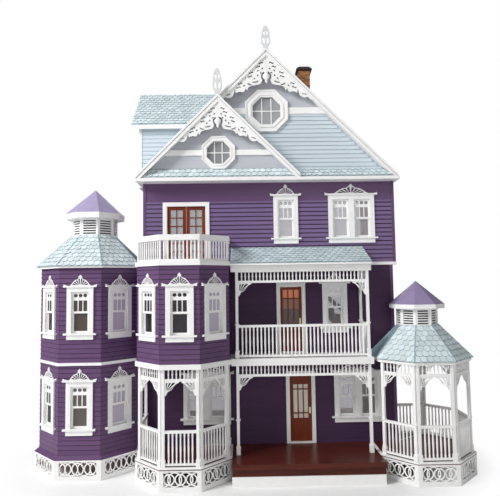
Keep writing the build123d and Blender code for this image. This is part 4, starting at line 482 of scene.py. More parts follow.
class Pen:
    """Collects the faces of one added piece and turns them into an object."""

    def __init__(self, name: str) -> None:
        """Starts an empty piece.

        Args:
            name: name of the object.
        """
        self.name = name
        self.points: list[Vector] = []
        self.faces: list[list[int]] = []
        self.marks: list[int] = []
        self.tones: list[float] = []

    def face(self, points: Sequence[Vector], mark: int = 0, tone: float = 0.5) -> None:
        """Adds one flat face.

        Args:
            points: corners, anticlockwise from outside.
            mark: which of the piece's finishes it takes.
            tone: brightness of this bit, from 0 to 1.
        """
        start = len(self.points)
        self.points.extend(points)
        self.faces.append(list(range(start, start + len(points))))
        self.marks.append(mark)
        self.tones.append(tone)

    def prism(self, outline: Sequence[Vector], depth: Vector, mark: int = 0, tone: float = 0.5) -> None:
        """Adds a closed solid: a flat outline pushed along a vector.

        Args:
            outline: corners, anticlockwise seen from the far end of the push.
            depth: the push.
            mark: which finish it takes.
            tone: brightness of this bit.
        """
        top = [point + depth for point in outline]
        self.face(outline[::-1], mark, tone)
        self.face(top, mark, tone)
        for k, here in enumerate(outline):
            after = (k + 1) % len(outline)
            self.face([here, outline[after], top[after], top[k]], mark, tone)

    def plate(self, board: Board, loops: Sequence[Sequence[Point]], low: float, high: float) -> None:
        """Adds a flat plate with holes.

        Args:
            board: plane that it lies in.
            loops: outer edge, then the edges of the holes.
            low: how far its back lies out of the plane.
            high: how far its front lies out of the plane.
        """
        turned = []
        for k, loop in enumerate(loops):
            wrong = (area(loop) < 0.0) == (k == 0)
            turned.append(list(loop)[::-1] if wrong else list(loop))
        flat = [spot for loop in turned for spot in loop]
        for corners in tessellate_polygon([[Vector((*spot, 0.0)) for spot in loop] for loop in turned]):
            spots = [flat[k] for k in corners]
            spots = spots if area(spots) > 0.0 else spots[::-1]
            self.face([board.at(spot, high) for spot in spots])
            self.face([board.at(spot, low) for spot in spots[::-1]])
        for loop in turned:
            for here, after in zip(loop, [*loop[1:], loop[0]]):
                foot = [board.at(here, low), board.at(after, low)]
                self.face([*foot, board.at(after, high), board.at(here, high)])

    def lathe(self, foot: Vector, profile: Sequence[Point], sides: int = 8, flat: float = 1.0) -> None:
        """Adds a turned shape on an upright axis.

        Args:
            foot: lower end of the axis.
            profile: radius and height of each ring, from the foot up.
            sides: faces round the axis.
            flat: share to which the depth is pressed.
        """
        turns = [(k + 0.5) * math.tau / sides for k in range(sides)]
        rings = [
            [foot + Vector((r * math.cos(a), r * math.sin(a) * flat, z)) for a in turns]
            for r, z in profile
        ]
        self.face(rings[0][::-1])
        self.face(rings[-1])
        for lower, upper in zip(rings, rings[1:]):
            for k in range(sides):
                after = (k + 1) % sides
                self.face([lower[k], lower[after], upper[after], upper[k]])

    def box(self, low: Vector, high: Vector, mark: int = 0) -> None:
        """Adds a box square to the axes, between two corners."""
        base = [Vector((*spot, low.z)) for spot in rectangle(low.x, high.x, low.y, high.y)]
        self.prism(base, UP * (high.z - low.z), mark)

    def make(self, slot: Slot, *finishes: Coating, body: str = HOUSE) -> bpy.types.Object:
        """Makes the object and lets it ride on a body.

        Args:
            slot: material slot of the record; not used.
            finishes: finishes in the order of the marks.
            body: body that carries the piece.

        Returns:
            The new object.
        """
        mesh = bpy.data.meshes.new(self.name)
        mesh.from_pydata([tuple(point) for point in self.points], [], self.faces)
        for finish in finishes:
            mesh.materials.append(finish.material())
        mesh.polygons.foreach_set("material_index", self.marks)
        tones = mesh.attributes.new(TONE, "FLOAT", "FACE")
        tones.data.foreach_set("value", self.tones)
        made = bpy.data.objects.new(self.name, mesh)
        bpy.context.scene.collection.objects.link(made)
        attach(made, body)
        log.info("piece %s: %d faces on %s", self.name, len(self.faces), body)
        return made


@dataclass
class WallFace:
    """One flat outer wall to be clad.

    Attributes:
        origin: lower left corner, seen from outside.
        along: direction to the right, seen from outside.
        width: length of the wall.
        height: height of the cladding.
        holes: parts left bare, as x0, z0, x1, z1 from the origin.
        edges: left and right end at a height, for a gable.
        shadow: height of the strip of painted shade under each lip.
    """

    origin: Vector
    along: Vector
    width: float
    height: float
    holes: list[Rect] = field(default_factory=list)
    edges: Optional[Callable[[float], Span]] = None
    shadow: float = SHADOW_LINE

    def ends(self, low: float, high: float) -> Span:
        """Left and right end that hold at both heights."""
        first, last = (self.edges(z) if self.edges else (0.0, self.width) for z in (low, high))
        return max(first[0], last[0]), min(first[1], last[1])

    def free(self, low: float, high: float) -> list[Span]:
        """Stretches of the wall between two heights that no hole takes.

        Args:
            low: lower height.
            high: upper height.

        Returns:
            Left and right end of each stretch.
        """
        spans = [self.ends(low, high)]
        for x0, z0, x1, z1 in self.holes:
            if z0 < high and z1 > low:
                parts = [((a, min(b, x0)), (max(a, x1), b)) for a, b in spans]
                spans = [span for pair in parts for span in pair]
        return [(a, b) for a, b in spans if b - a > FEATHER]

    def clad(self, pen: Pen) -> None:
        """Lays clapboards: a face, a strip of painted shade under the lip above, and an underside painted
        dark as shade.

        Args:
            pen: piece that takes the boards, with paint and painted shade line as its finishes.
        """
        out = self.along.cross(UP)
        low = 0.0
        while low < self.height - FEATHER:
            high = min(low + COURSE, self.height)
            # Painted shade starts at this height, under the lip above.
            line = low + COURSE - self.shadow
            levels = {low, high, min(line, high)}
            for _, z0, _, z1 in self.holes:
                levels.update(z for z in (z0, z1) if low < z < high)
            steps = sorted(levels)
            for a, b in zip(steps, steps[1:]):
                thick = [LIP - (LIP - FEATHER) * (z - low) / COURSE for z in (a, b)]
                for left, right in self.free(a, b):
                    ends = rectangle(left, right, a, b)
                    back = [self.origin + self.along * x + UP * z for x, z in ends]
                    push = (thick[0], thick[0], thick[1], thick[1])
                    spots = [spot + out * t for spot, t in zip(back, push)]
                    # Mark 1 is painted shade: the strip under the next lip and the lip's underside.
                    pen.face(spots, int(a >= line - FEATHER))
                    pen.face([back[0], back[1], spots[1], spots[0]], 1)
                    pen.face([back[1], back[2], spots[2], spots[1]])
                    pen.face([back[3], back[0], spots[0], spots[3]])
            low = high


def clip(shape: Sequence[Point], fence: Sequence[Point]) -> list[Point]:
    """Part of a flat shape inside a convex fence, both anticlockwise.

    Args:
        shape: outline to be cut.
        fence: convex outline that it is kept inside.

    Returns:
        The cut outline, empty if nothing is left.
    """
    kept = list(shape)
    for k, (ax, ay) in enumerate(fence):
        bx, by = fence[(k + 1) % len(fence)]
        side = [(bx - ax) * (y - ay) - (by - ay) * (x - ax) for x, y in kept]
        before, kept = kept, []
        for i, here in enumerate(before):
            j = (i + 1) % len(before)
            if side[i] >= 0.0:
                kept.append(here)
            if side[i] * side[j] < 0.0:
                share = side[i] / (side[i] - side[j])
                kept.append(tuple(p + share * (q - p) for p, q in zip(here, before[j])))
    return kept if len(kept) > 2 else []


@dataclass
class RoofFace:
    """One flat slope to be shingled.

    Attributes:
        corners: convex outline, anticlockwise from outside, starting with the eave from left to right.
    """

    corners: list[Vector]

    def shingle(self, pen: Pen, luck: random.Random) -> None:
        """Lays courses of round-ended shingles.

        Args:
            pen: piece that takes the shingles, with face and painted shade edge as its finishes.
            luck: source of the small differences between shingles.
        """
        base = self.corners[0]
        across = (self.corners[1] - base).normalized()
        out = across.cross(self.corners[-1] - base).normalized()
        rise = out.cross(across)
        fence = [((p - base).dot(across), (p - base).dot(rise)) for p in self.corners]
        wide = [u for u, _ in fence]
        top = max(v for _, v in fence)
        half = (SCALE_W - SCALE_GAP) / 2
        drop = half * SCALE_ROUND
        length = SCALE_EXPOSE + drop
        arc = [math.pi * (1.0 + k / SCALE_SIDES) for k in range(SCALE_SIDES + 1)]
        scale = [(half * math.cos(a), drop + drop * math.sin(a)) for a in arc]
        scale += [(half, length), (-half, length)]
        for row in range(int(top / SCALE_EXPOSE) + 2):
            foot = (row - 1) * SCALE_EXPOSE
            shift = SCALE_W / 2 * (row % 2)
            for k in range(int((max(wide) - min(wide)) / SCALE_W) + 2):
                middle = min(wide) + shift + k * SCALE_W
                shape = clip([(middle + u, foot + v) for u, v in scale], fence)
                if not shape:
                    continue
                lift = SCALE_LIFT * luck.uniform(*SCALE_SPREAD)
                tone = luck.random()
                flat = [base + across * u + rise * v for u, v in shape]
                high = [SCALE_T + lift * (1.0 - (v - foot) / length) for _, v in shape]
                tops = [p + out * h for p, h in zip(flat, high)]
                pen.face(tops, 0, tone)
                # The sides of each shingle take mark 1, painted shade between the shingles.
                for i, here in enumerate(flat):
                    j = (i + 1) % len(flat)
                    pen.face([here, flat[j], tops[j], tops[i]], 1, tone)


@dataclass(frozen=True)
class Rule:
    """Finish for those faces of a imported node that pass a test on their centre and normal."""

    finish: Finish
    test: Callable[[Vector, Vector], bool]


@dataclass(frozen=True)
class Inset:
    """How far the hidden wall edge lies inside the outline of a window or door unit."""

    side: float
    foot: float
    head: float


WINDOW_INSET = Inset(0.0145, 0.006, 0.0345)
DOOR_INSET = Inset(0.005, -0.010, 0.005)
PANE_REACH = 0.0009      # half the room between the two faces taken as a pane
UNIT_REACH = 0.012       # how far a unit may stand off the wall it belongs to


@dataclass
class Solid:
    """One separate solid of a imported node.

    Attributes:
        faces: indices of its faces.
        points: its corner points.
    """

    faces: list[int]
    points: list[Vector]

    def middle(self) -> Vector:
        """Middle of its box."""
        low, high = (Vector([pick(axis) for axis in zip(*self.points)]) for pick in (min, max))
        return (low + high) / 2

    def span(self, way: Vector) -> Span:
        """Lowest and highest reach along a direction."""
        reach = [p.dot(way) for p in self.points]
        return min(reach), max(reach)


def mesh_of(node: str) -> bpy.types.Mesh:
    """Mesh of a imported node."""
    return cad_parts[node].data


def solids(node: str) -> list[Solid]:
    """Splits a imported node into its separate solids.

    Args:
        node: name of the node.

    Returns:
        The solids, in the order of their first face.
    """
    mesh = mesh_of(node)
    weld: dict[tuple[int, int, int], int] = {}
    spot = [weld.setdefault(tuple(round(c * WELD_STEP) for c in v.co), len(weld)) for v in mesh.vertices]
    parent = list(range(len(weld)))

    def root(k: int) -> int:
        """Finds the head of the group that a point is in.

        Args:
            k: index of the point.

        Returns:
            Index of the head.
        """
        while parent[k] != k:
            parent[k] = parent[parent[k]]
            k = parent[k]
        return k

    for polygon in mesh.polygons:
        first = root(spot[polygon.vertices[0]])
        for v in polygon.vertices[1:]:
            parent[root(spot[v])] = first
    groups: dict[int, list[int]] = {}
    for polygon in mesh.polygons:
        groups.setdefault(root(spot[polygon.vertices[0]]), []).append(polygon.index)
    return [
        Solid(faces, [mesh.vertices[v].co for f in faces for v in mesh.polygons[f].vertices])
        for faces in groups.values()
    ]


def board_of(node: str, solid: Solid) -> tuple[Board, float, float]:
    """Flat place of an upright panel, on its outer face.

    Args:
        node: node that the solid belongs to.
        solid: the panel.

    Returns:
        The board with its origin at the middle of the lower edge, the width and the thickness.
    """
    mesh = mesh_of(node)
    weights: dict[tuple[float, ...], float] = {}
    for f in solid.faces:
        normal = mesh.polygons[f].normal
        if abs(normal.z) < UPRIGHT:
            key = tuple(round(c, 2) for c in normal)
            weights[key] = weights.get(key, 0.0) + mesh.polygons[f].area
    out = Vector(max(weights, key=weights.get)).normalized()
    across = UP.cross(out)
    left, right = solid.span(across)
    near, far = solid.span(out)
    origin = across * ((left + right) / 2) + out * far + UP * solid.span(UP)[0]
    return Board(origin, across), right - left, far - near


def dress(node: str, finish: Finish, *rules: Rule) -> None:
    """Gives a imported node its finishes.

    Args:
        node: name of the node.
        finish: finish of every face that no rule takes.
        rules: finishes for some of the faces; the last one that fits counts.
    """
    mesh = mesh_of(node)
    mesh.materials.clear()
    for each in (finish, *(rule.finish for rule in rules)):
        mesh.materials.append(each.material())
    for polygon in mesh.polygons:
        polygon.material_index = 0
        for k, rule in enumerate(rules, 1):
            if rule.test(polygon.center, polygon.normal):
                polygon.material_index = k
    log.info("node %s: %s", node, finish.name)


def glaze(node: str, pick: Callable[[Vector], Glazing]) -> None:
    """Gives the thin sheets in the middle of each solid of a node a glass finish.

    Args:
        node: name of the node, which has its other finishes already.
        pick: glass for a solid, by the middle of its box.
    """
    mesh = mesh_of(node)
    for solid in solids(node):
        weights: dict[tuple[float, ...], float] = {}
        for f in solid.faces:
            normal = mesh.polygons[f].normal
            key = tuple(round(c, 2) for c in (normal if normal.y < 0 else -normal))
            weights[key] = weights.get(key, 0.0) + mesh.polygons[f].area
        way = Vector(max(weights, key=weights.get)).normalized()
        middle = sum(solid.span(way)) / 2
        glass = pick(solid.middle()).material()
        if glass.name not in mesh.materials:
            mesh.materials.append(glass)
        index = mesh.materials.find(glass.name)
        for f in solid.faces:
            polygon = mesh.polygons[f]
            flat = abs(polygon.normal.dot(way)) > PARALLEL
            if flat and abs(polygon.center.dot(way) - middle) < PANE_REACH:
                polygon.material_index = index


def leave_bare(wall: WallFace, node: str, inset: Inset) -> None:
    """Keeps the cladding of a wall out of the openings of the units set into it.

    Args:
        wall: wall to be clad.
        node: node with the window or door units.
        inset: how far the opening lies inside each unit.
    """
    out = wall.along.cross(UP)
    for solid in solids(node):
        far = (solid.middle() - wall.origin).dot(out)
        left, right = (end - wall.origin.dot(wall.along) for end in solid.span(wall.along))
        if abs(far) > UNIT_REACH or left < -UNIT_REACH or right > wall.width + UNIT_REACH:
            continue
        low, high = (end - wall.origin.z for end in solid.span(UP))
        wall.holes.append((left + inset.side, low + inset.foot, right - inset.side, high - inset.head))


@dataclass(frozen=True)
class Octagon:
    """Eight-sided plan with a face square to the viewer."""

    x: float
    y: float

    @classmethod
    def round_cap(cls, node: str) -> "Octagon":
        """Plan round the middle of a node that has all eight sides."""
        low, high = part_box(node)
        return cls((low.x + high.x) / 2, (low.y + high.y) / 2)

    def corner(self, apothem: float, turn: float, z: float) -> Vector:
        """Point on the plan at a corner angle in radians, for an apothem and a height."""
        reach = apothem / math.cos(HALF_OCTANT)
        return Vector((self.x + reach * math.cos(turn), self.y + reach * math.sin(turn), z))

    def ring(self, apothem: float, z: float) -> list[Vector]:
        """All eight corners for an apothem and a height."""
        return [self.corner(apothem, HALF_OCTANT + k * OCTANT, z) for k in range(8)]

    def wall(self, apothem: float, turn: float, low: float, high: float) -> WallFace:
        """Wall on the face with an outward angle, between two heights."""
        left, right = (self.corner(apothem, turn + side * HALF_OCTANT, low) for side in (-1, 1))
        return WallFace(left, (right - left).normalized(), (right - left).length, high - low)

    def slope(self, turn: float, eave: Point, top: Point) -> RoofFace:
        """Roof slope on one face.

        Args:
            turn: outward angle of the face.
            eave: apothem and height of the eave.
            top: apothem and height of the upper edge.

        Returns:
            The slope.
        """
        ends = [(eave, -1), (eave, 1), (top, 1), (top, -1)]
        return RoofFace([self.corner(a, turn + side * HALF_OCTANT, z) for (a, z), side in ends])


def inward(plan: Octagon) -> Callable[[Vector, Vector], bool]:
    """Test for faces that look toward the middle of a plan."""
    return lambda c, normal: (c.x - plan.x) * normal.x + (c.y - plan.y) * normal.y < -INNER


def facing(way: Vector) -> Callable[[Vector, Vector], bool]:
    """Test for faces that look along a direction."""
    return lambda _, normal: normal.dot(way) > TOWARD


CORNER_W = 0.006         # width of a corner board
CORNER_OUT = 0.0019      # corner board, proud of the wall
LUCK = random.Random(12)


def any_edge(_: Vector, normal: Vector) -> bool:
    """Test for upright edges of a board."""
    return abs(normal.z) < TOWARD


def roof_top(_: Vector, normal: Vector) -> bool:
    """Test for faces that look up."""
    return normal.z > TOP


@dataclass
class MainBlock:
    """Walls, floors, base tray, cornice and stair of the main house."""

    tower: Octagon
    upper_shadow: float = 0.0030  # height of the painted shade strips on the third floor, which the roof shades
    attic_inset: float = 0.03  # attic floor kept back from the eaves
    inner_side: float = 0.1  # the same test as INNER for the side walls, which stand far apart
    band_plain: float = 0.051  # plain strip at the top of the third-floor wall, left in the darker plain purple as painted shade under the eave

    def dress(self) -> None:
        """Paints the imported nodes."""
        dress("foundation", WHITE)
        dress("floor_boards", BOARD_WOOD, Rule(WHITE, any_edge))
        dress("cornice_board", WHITE)
        dress("staircase", DOOR_WOOD)
        # The lower wall node takes the purple darkened as painted shade; the upper node keeps the plain
        # purple, darker than the third-floor clapboards, as painted shade in the band under the eave.
        for node, paint in (("lower_front_wall", PURPLE_PORCH_SHADE), ("upper_front_wall", PURPLE)):
            dress(node, paint, Rule(ROOM_PAINT, facing(BACK)))
        inner = Rule(ROOM_PAINT, lambda centre, normal: centre.x * normal.x < -self.inner_side)
        dress("side_walls", PURPLE, inner, Rule(WHITE, facing(BACK)))

    def storey(self, node: str, paint: Finish, plain: float, shadow: float, corners: Pen) -> None:
        """Lays the clapboards of the front and both sides of one storey block.

        Args:
            node: front wall of the block.
            paint: paint of the front.
            plain: height of the plain strip at the top of the front.
            shadow: height of the painted shade strips on the front.
            corners: piece that takes the corner boards.
        """
        low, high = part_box(node)
        tall = high.z - low.z
        bay_low, bay_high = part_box("bay_walls")
        pen = Pen(f"{node}_clapboards")
        wall = WallFace(low.copy(), RIGHT, high.x - low.x, tall - plain, shadow=shadow)
        leave_bare(wall, "window_casings", WINDOW_INSET)
        leave_bare(wall, "door_frames", DOOR_INSET)
        house_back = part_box("side_walls")[1].y
        depth = house_back - low.y
        left = WallFace(Vector((low.x, house_back, low.z)), FRONT, depth, tall)
        if bay_low.z < high.z - FEATHER:
            wall.holes.append(
                (bay_low.x - low.x, bay_low.z - low.z, bay_high.x - low.x, bay_high.z - low.z)
            )
            middle = house_back - self.tower.y
            half = (self.tower.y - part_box("tower_walls")[0].y) * math.tan(HALF_OCTANT)
            left.holes.append((middle - half, -1.0, middle + half, 1.0))
        wall.clad(pen)
        pen.make(Slot.PURPLE, paint, PURPLE_SHADE_LINE)
        sides = Pen(f"{node}_side_clapboards")
        left.clad(sides)
        WallFace(Vector((high.x, low.y, low.z)), BACK, depth, tall).clad(sides)
        sides.make(Slot.PURPLE, PURPLE, PURPLE_SHADE_LINE)
        for x, side in ((low.x, 1), (high.x, -1)):
            ends = sorted((x - side * CORNER_OUT, x + side * CORNER_W))
            start = Vector((ends[0], low.y - CORNER_OUT, low.z))
            corners.box(start, Vector((ends[1], low.y + CORNER_W, high.z)))

    def build(self) -> None:
        """Lays the clapboards and corner boards."""
        corners = Pen("main_corner_boards")
        # The lower storey's front takes the purple darkened as painted shade, the third floor's a lighter
        # copy as painted sheen.
        self.storey("lower_front_wall", PURPLE_PORCH_SHADE, 0.0, SHADOW_LINE, corners)
        self.storey("upper_front_wall", PURPLE_UPPER_SHEEN, self.band_plain, self.upper_shadow, corners)
        corners.make(Slot.PURPLE, PURPLE)
        low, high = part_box("cornice_board")
        start = Vector((low.x + self.attic_inset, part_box("gable_walls")[1].y, high.z))
        attic = Pen("attic_floor_face")
        attic.box(start, Vector((high.x - self.attic_inset, high.y, high.z + FEATHER)))
        attic.make(Slot.FLOOR, BOARD_WOOD)


@dataclass
class Gables:
    """Attic walls, roofs, white trim and windows of the two front gables."""

    # Fretwork, in shares of its width: across from the middle, and down from the peak.
    fret_edge: tuple[tuple[Point, ...], ...] = (
        ((0.0, 0.375), (0.06, 0.385), (0.10, 0.43), (0.105, 0.49), (0.083, 0.56)),
        ((0.083, 0.56), (0.12, 0.63), (0.19, 0.655), (0.30, 0.675), (0.37, 0.71), (0.397, 0.775)),
        ((0.397, 0.775), (0.434, 0.74), (0.453, 0.785), (0.49, 0.81), (0.56, 0.80), (0.637, 0.83)),
        ((0.637, 0.83), (0.656, 0.757), (0.684, 0.86), (0.73, 0.915), (0.80, 0.933), (0.86, 0.915)),
        ((0.86, 0.915), (0.915, 0.97), (0.97, 0.99), (1.0, 1.0)),
    )
    # Middles of the wavy slits.
    fret_waves: tuple[Point, ...] = (
        (0.11, 0.19), (0.166, 0.271), (0.314, 0.397), (0.333, 0.48), (0.545, 0.629), (0.582, 0.712),
        (0.79, 0.86),
    )
    # Middles of the short slits.
    fret_drops: tuple[Point, ...] = (
        (0.075, 0.31), (0.17, 0.355), (0.11, 0.40), (0.176, 0.46), (0.24, 0.52), (0.462, 0.675),
    )
    # Middle, tilt and length of each bowed slit.
    fret_bows: tuple[tuple[float, ...], ...] = ((0.225, 0.585, 12.0, 0.155), (0.345, 0.635, -22.0, 0.115))
    # Tilt, length, width and bend of a wavy and of a short slit.
    fret_wave: tuple[float, ...] = (-12.0, 0.105, 0.034, 0.018)
    fret_drop: tuple[float, ...] = (50.0, 0.050, 0.030, 0.0)
    fret_bow: Span = (0.032, 0.014)  # width and bend of a bowed slit
    fret_t: float = 0.0025  # thickness of the pierced boards
    fret_scale: float = 1.18  # size of the pierced boards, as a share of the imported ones
    # Radius of the turned drop and place down from the peak, from its foot up.
    pendant: tuple[Point, ...] = (
        (0.002, 0.635), (0.034, 0.585), (0.026, 0.562), (0.056, 0.53), (0.078, 0.49), (0.072, 0.455),
        (0.030, 0.415), (0.044, 0.392), (0.030, 0.36),
    )
    pendant_flat: float = 0.45  # share to which the pendant's depth is pressed
    ring_step: float = 0.0042  # width of the raised beads on an attic window ring
    ring_out: float = 0.0018  # how far those beads stand out
    ring_inner: float = 0.80  # apothem of the inner bead, as a share of the ring
    rake_w: float = 0.017  # rake board, measured straight down
    bead_h: float = 0.0042  # height of the bead along a rake
    bead_out: float = 0.0016  # how far that bead stands out
    bead_groove: float = 0.0062  # lower edge of the painted shade strip that stands for a groove under the bead
    bead_rise: float = 0.0032  # how far the bead stands above the roof board, to hide the shingle ends
    pent_lip: float = 0.003  # front edge of the strip at the gable foot
    band_tall: float = 0.04  # a piece of trim that is less tall is a belt band, not a rake
    oct_ring: float = 0.049  # apothem where the siding ends under the window ring
    oct_steps: int = 4  # steps over that apothem
    wall_t: float = 0.008  # thickness of the wall sheets

    def __post_init__(self) -> None:
        """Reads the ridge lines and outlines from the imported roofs."""
        self.low, self.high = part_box("main_roof")
        self.ridge_x = (self.low.x + self.high.x) / 2
        self.small_low, self.small_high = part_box("small_gable_roof")
        self.small_x = self.ridge_x - (self.high.z - self.small_high.z)
        self.eave_z = self.high.z - (self.high.x - self.low.x) / 2

    def dress(self) -> None:
        """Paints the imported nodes."""
        # The gable walls take the siding grey darkened as painted shade.
        dress("gable_walls", GABLE_SHADE_GREY, Rule(ROOM_PAINT, facing(BACK)))
        for node in ("main_roof", "small_gable_roof", "pent_roof"):
            dress(node, WHITE, Rule(SHINGLE_BASE, roof_top))
        # The finials take a grey as painted shade.
        dress("finials", FINIAL_SHADE_GREY)
        for node in ("gable_trim", "gable_windows"):
            dress(node, WHITE)
        glaze("gable_windows", lambda _: GLASS_GREY)

    def siding(self) -> None:
        """Lays the siding of the main gable below its belt band."""
        low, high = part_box("gable_walls")
        half = high.z - low.z
        origin = Vector((self.ridge_x - half, high.y - self.wall_t, low.z))
        bands = [s for s in solids("gable_trim") if s.span(UP)[1] - s.span(UP)[0] < self.band_tall]
        band_low = max(s.span(UP)[0] for s in bands)
        wall = WallFace(origin, RIGHT, 2 * half, band_low - low.z, [], lambda z: (z, 2 * half - z))
        ring = max(solids("gable_windows"), key=lambda s: s.middle().z).middle()
        # The siding ends in short steps along the eight-sided ring.
        step = self.oct_ring / self.oct_steps
        for k in range(-2 * self.oct_steps, 2 * self.oct_steps):
            far = max(abs(k), abs(k + 1)) * step
            wide = min(self.oct_ring, self.oct_ring * (1.0 + math.tan(HALF_OCTANT)) - far)
            if wide > 0.0:
                middle, base = half, ring.z - low.z + k * step
                wall.holes.append((middle - wide, base, middle + wide, base + step))
        pen = Pen("gable_siding")
        wall.clad(pen)
        pen.make(Slot.SIDING, SIDING, SIDING_SHADE_LINE)

    def slopes(self) -> Iterator[RoofFace]:
        """Finds the slopes of the main roof, the small gable and the strips at their foot.

        Returns:
            The slopes, one after the other.
        """
        low, high, ridge = self.low, self.high, self.ridge_x

        def line(x: float, z: float, first: float, last: float, top_x: float, top_z: float) -> RoofFace:
            """Slope from an eave line to a ridge line, both level."""
            ends = ((x, first, z), (x, last, z), (top_x, last, top_z), (top_x, first, top_z))
            return RoofFace([Vector(end) for end in ends])

        yield line(low.x, self.eave_z, high.y, low.y, ridge, high.z)
        yield line(high.x, self.eave_z, low.y, high.y, ridge, high.z)
        small, front = self.small_high, self.small_low.y
        yield line(low.x, self.eave_z, low.y, front, self.small_x, small.z)
        yield line(small.x, self.eave_z, front, small.y, self.small_x, small.z)
        pent_low, pent_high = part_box("pent_roof")
        foot = pent_low.z + self.pent_lip
        for solid in solids("pent_roof"):
            left, right = solid.span(RIGHT)
            near, far = solid.span(BACK)
            peak = self.small_x if left < self.small_x else ridge
            top = small.z if left < self.small_x else high.z
            ends = []
            for z, y in ((foot, near), (pent_high.z, far)):
                half = top - self.rake_w - z
                sides = (max(left, peak - half), min(right, peak + half))
                ends.append([Vector((x, y, z)) for x in sides])
            yield RoofFace([ends[0][0], ends[0][1], ends[1][1], ends[1][0]])

    def beads(self) -> None:
        """Adds the raised bead along the top of the rake boards."""
        pen = Pen("rake_beads")
        for solid in solids("gable_trim"):
            left, right = solid.span(RIGHT)
            foot, head = solid.span(UP)
            if head - foot < self.band_tall:
                continue
            face = solid.span(BACK)[0]
            main = face > self.small_low.y
            peak, top = (self.ridge_x, self.high.z) if main else (self.small_x, self.small_high.z)
            ends = [(x, top - abs(x - peak)) for x in (left, right)]
            strips = (
                # Mark 1 is a flat strip of painted shade, standing for a groove under the bead.
                (0, self.bead_h, -self.bead_rise, self.bead_out),
                (1, self.bead_groove, self.bead_h, FEATHER),
            )
            for mark, low, high, out in strips:
                corners = ((ends[0], low), (ends[1], low), (ends[1], high), (ends[0], high))
                outline = [Vector((x, face, z - drop)) for (x, z), drop in corners]
                pen.prism(outline, FRONT * out, mark)
        pen.make(Slot.WHITE, WHITE, GROOVE_SHADE)

    def fretwork(self) -> None:
        """Makes the pierced boards under the two peaks, with a turned drop at the middle."""
        pen = Pen("gable_scrollwork")
        for solid in solids("gable_fretwork"):
            left, right = solid.span(RIGHT)
            face, _ = solid.span(BACK)
            top = solid.span(UP)[1]
            size = (right - left) * self.fret_scale
            main = face > self.small_low.y
            peak = self.ridge_x if main else self.small_x
            side = 1 if left + right > 2 * peak else -1
            board = Board(Vector((left if side > 0 else right, face, top)), RIGHT)
            edge = [spot for part in self.fret_edge for spot in smooth(part)[:-1]]
            loops = [[(0.0, 0.0), *edge, (1.0, 1.0)]]
            loops += [slit((u, w), *self.fret_wave, True) for u, w in self.fret_waves]
            loops += [slit((u, w), *self.fret_drop, False) for u, w in self.fret_drops]
            loops += [
                slit((u, w), turn, long, *self.fret_bow, False) for u, w, turn, long in self.fret_bows
            ]
            placed = [[(side * u * size, -w * size) for u, w in loop] for loop in loops]
            pen.plate(board, placed, -self.fret_t, 0.0)
            if side > 0:
                drop = [(radius * size, -w * size) for radius, w in self.pendant]
                start = Vector((peak, face - self.fret_t / 2, top))
                pen.lathe(start, drop, sides=10, flat=self.pendant_flat)
        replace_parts(pen.make(Slot.WHITE, WHITE), "gable_fretwork")

    def window_rings(self) -> None:
        """Adds raised beads to the eight-sided window rings."""
        pen = Pen("gable_window_rings")
        for solid in solids("gable_windows"):
            left, right = solid.span(RIGHT)
            face, _ = solid.span(BACK)
            middle = solid.middle()
            board = Board(Vector((middle.x, face, middle.z)), RIGHT)
            outer = (right - left) / 2
            for apothem in (outer, outer * self.ring_inner):
                rings = [Octagon(0.0, 0.0).ring(a, 0.0) for a in (apothem, apothem - self.ring_step)]
                loops = [[tuple(spot.xy) for spot in ring] for ring in rings]
                pen.plate(board, loops, 0.0, self.ring_out)
        pen.make(Slot.WHITE, WHITE)

    def build(self) -> None:
        """Adds siding, shingles, beads and the pierced boards."""
        self.siding()
        self.fretwork()
        self.window_rings()
        pen = Pen("gable_shingles")
        for slope in self.slopes():
            slope.shingle(pen, LUCK)
        pen.make(Slot.SHINGLE, SHINGLE, SHINGLE_EDGE_SHADE)
        self.beads()


@dataclass
class Dormer:
    """Cross gable on the left slope of the main roof."""

    gables: Gables

    def dress(self) -> None:
        """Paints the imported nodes."""
        dress("dormer_walls", SIDING)
        dress("dormer_roof", WHITE, Rule(SHINGLE_BASE, roof_top))

    def meets(self, z: float) -> float:
        """Place across where the main left slope has a height."""
        return self.gables.ridge_x - (self.gables.high.z - z)

    def build(self) -> None:
        """Adds siding, shingles and corner boards."""
        low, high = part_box("dormer_walls")
        roof_low, roof_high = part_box("dormer_roof")
        eave_x, eave_z = self.gables.low.x, self.gables.eave_z
        middle = (roof_low.y + roof_high.y) / 2
        roof_half = (roof_high.y - roof_low.y) / 2
        wall_half = (high.y - low.y) / 2
        cheek = high.z - wall_half
        pen = Pen("dormer_siding")
        WallFace(
            Vector((eave_x, low.y, eave_z)), RIGHT, cheek - eave_z, cheek - eave_z, [], lambda z: (0.0, z)
        ).clad(pen)
        WallFace(
            Vector((low.x, high.y, low.z)), FRONT, 2 * wall_half, high.z - low.z, [],
            lambda z: (max(0.0, z - cheek + low.z), 2 * wall_half - max(0.0, z - cheek + low.z)),
        ).clad(pen)
        pen.make(Slot.SIDING, SIDING, SIDING_SHADE_LINE)
        tiles = Pen("dormer_shingles")
        eave = roof_high.z - roof_half
        front = [(roof_low.x, roof_low.y, eave), (self.meets(eave), roof_low.y, eave)]
        back = [(self.meets(eave), roof_high.y, eave), (roof_low.x, roof_high.y, eave)]
        ridge = [(self.meets(roof_high.z), middle, roof_high.z), (roof_low.x, middle, roof_high.z)]
        for corners in ([*front, *ridge], [*back, *ridge[::-1]]):
            RoofFace([Vector(corner) for corner in corners]).shingle(tiles, LUCK)
        tiles.make(Slot.SHINGLE, SHINGLE, SHINGLE_EDGE_SHADE)
        trim = Pen("dormer_trim")
        for y in (low.y - CORNER_OUT, high.y - CORNER_W):
            start = Vector((low.x - CORNER_OUT, y, low.z))
            trim.box(start, Vector((low.x + CORNER_W, y + CORNER_W + CORNER_OUT, cheek)))
        trim.make(Slot.WHITE, WHITE)


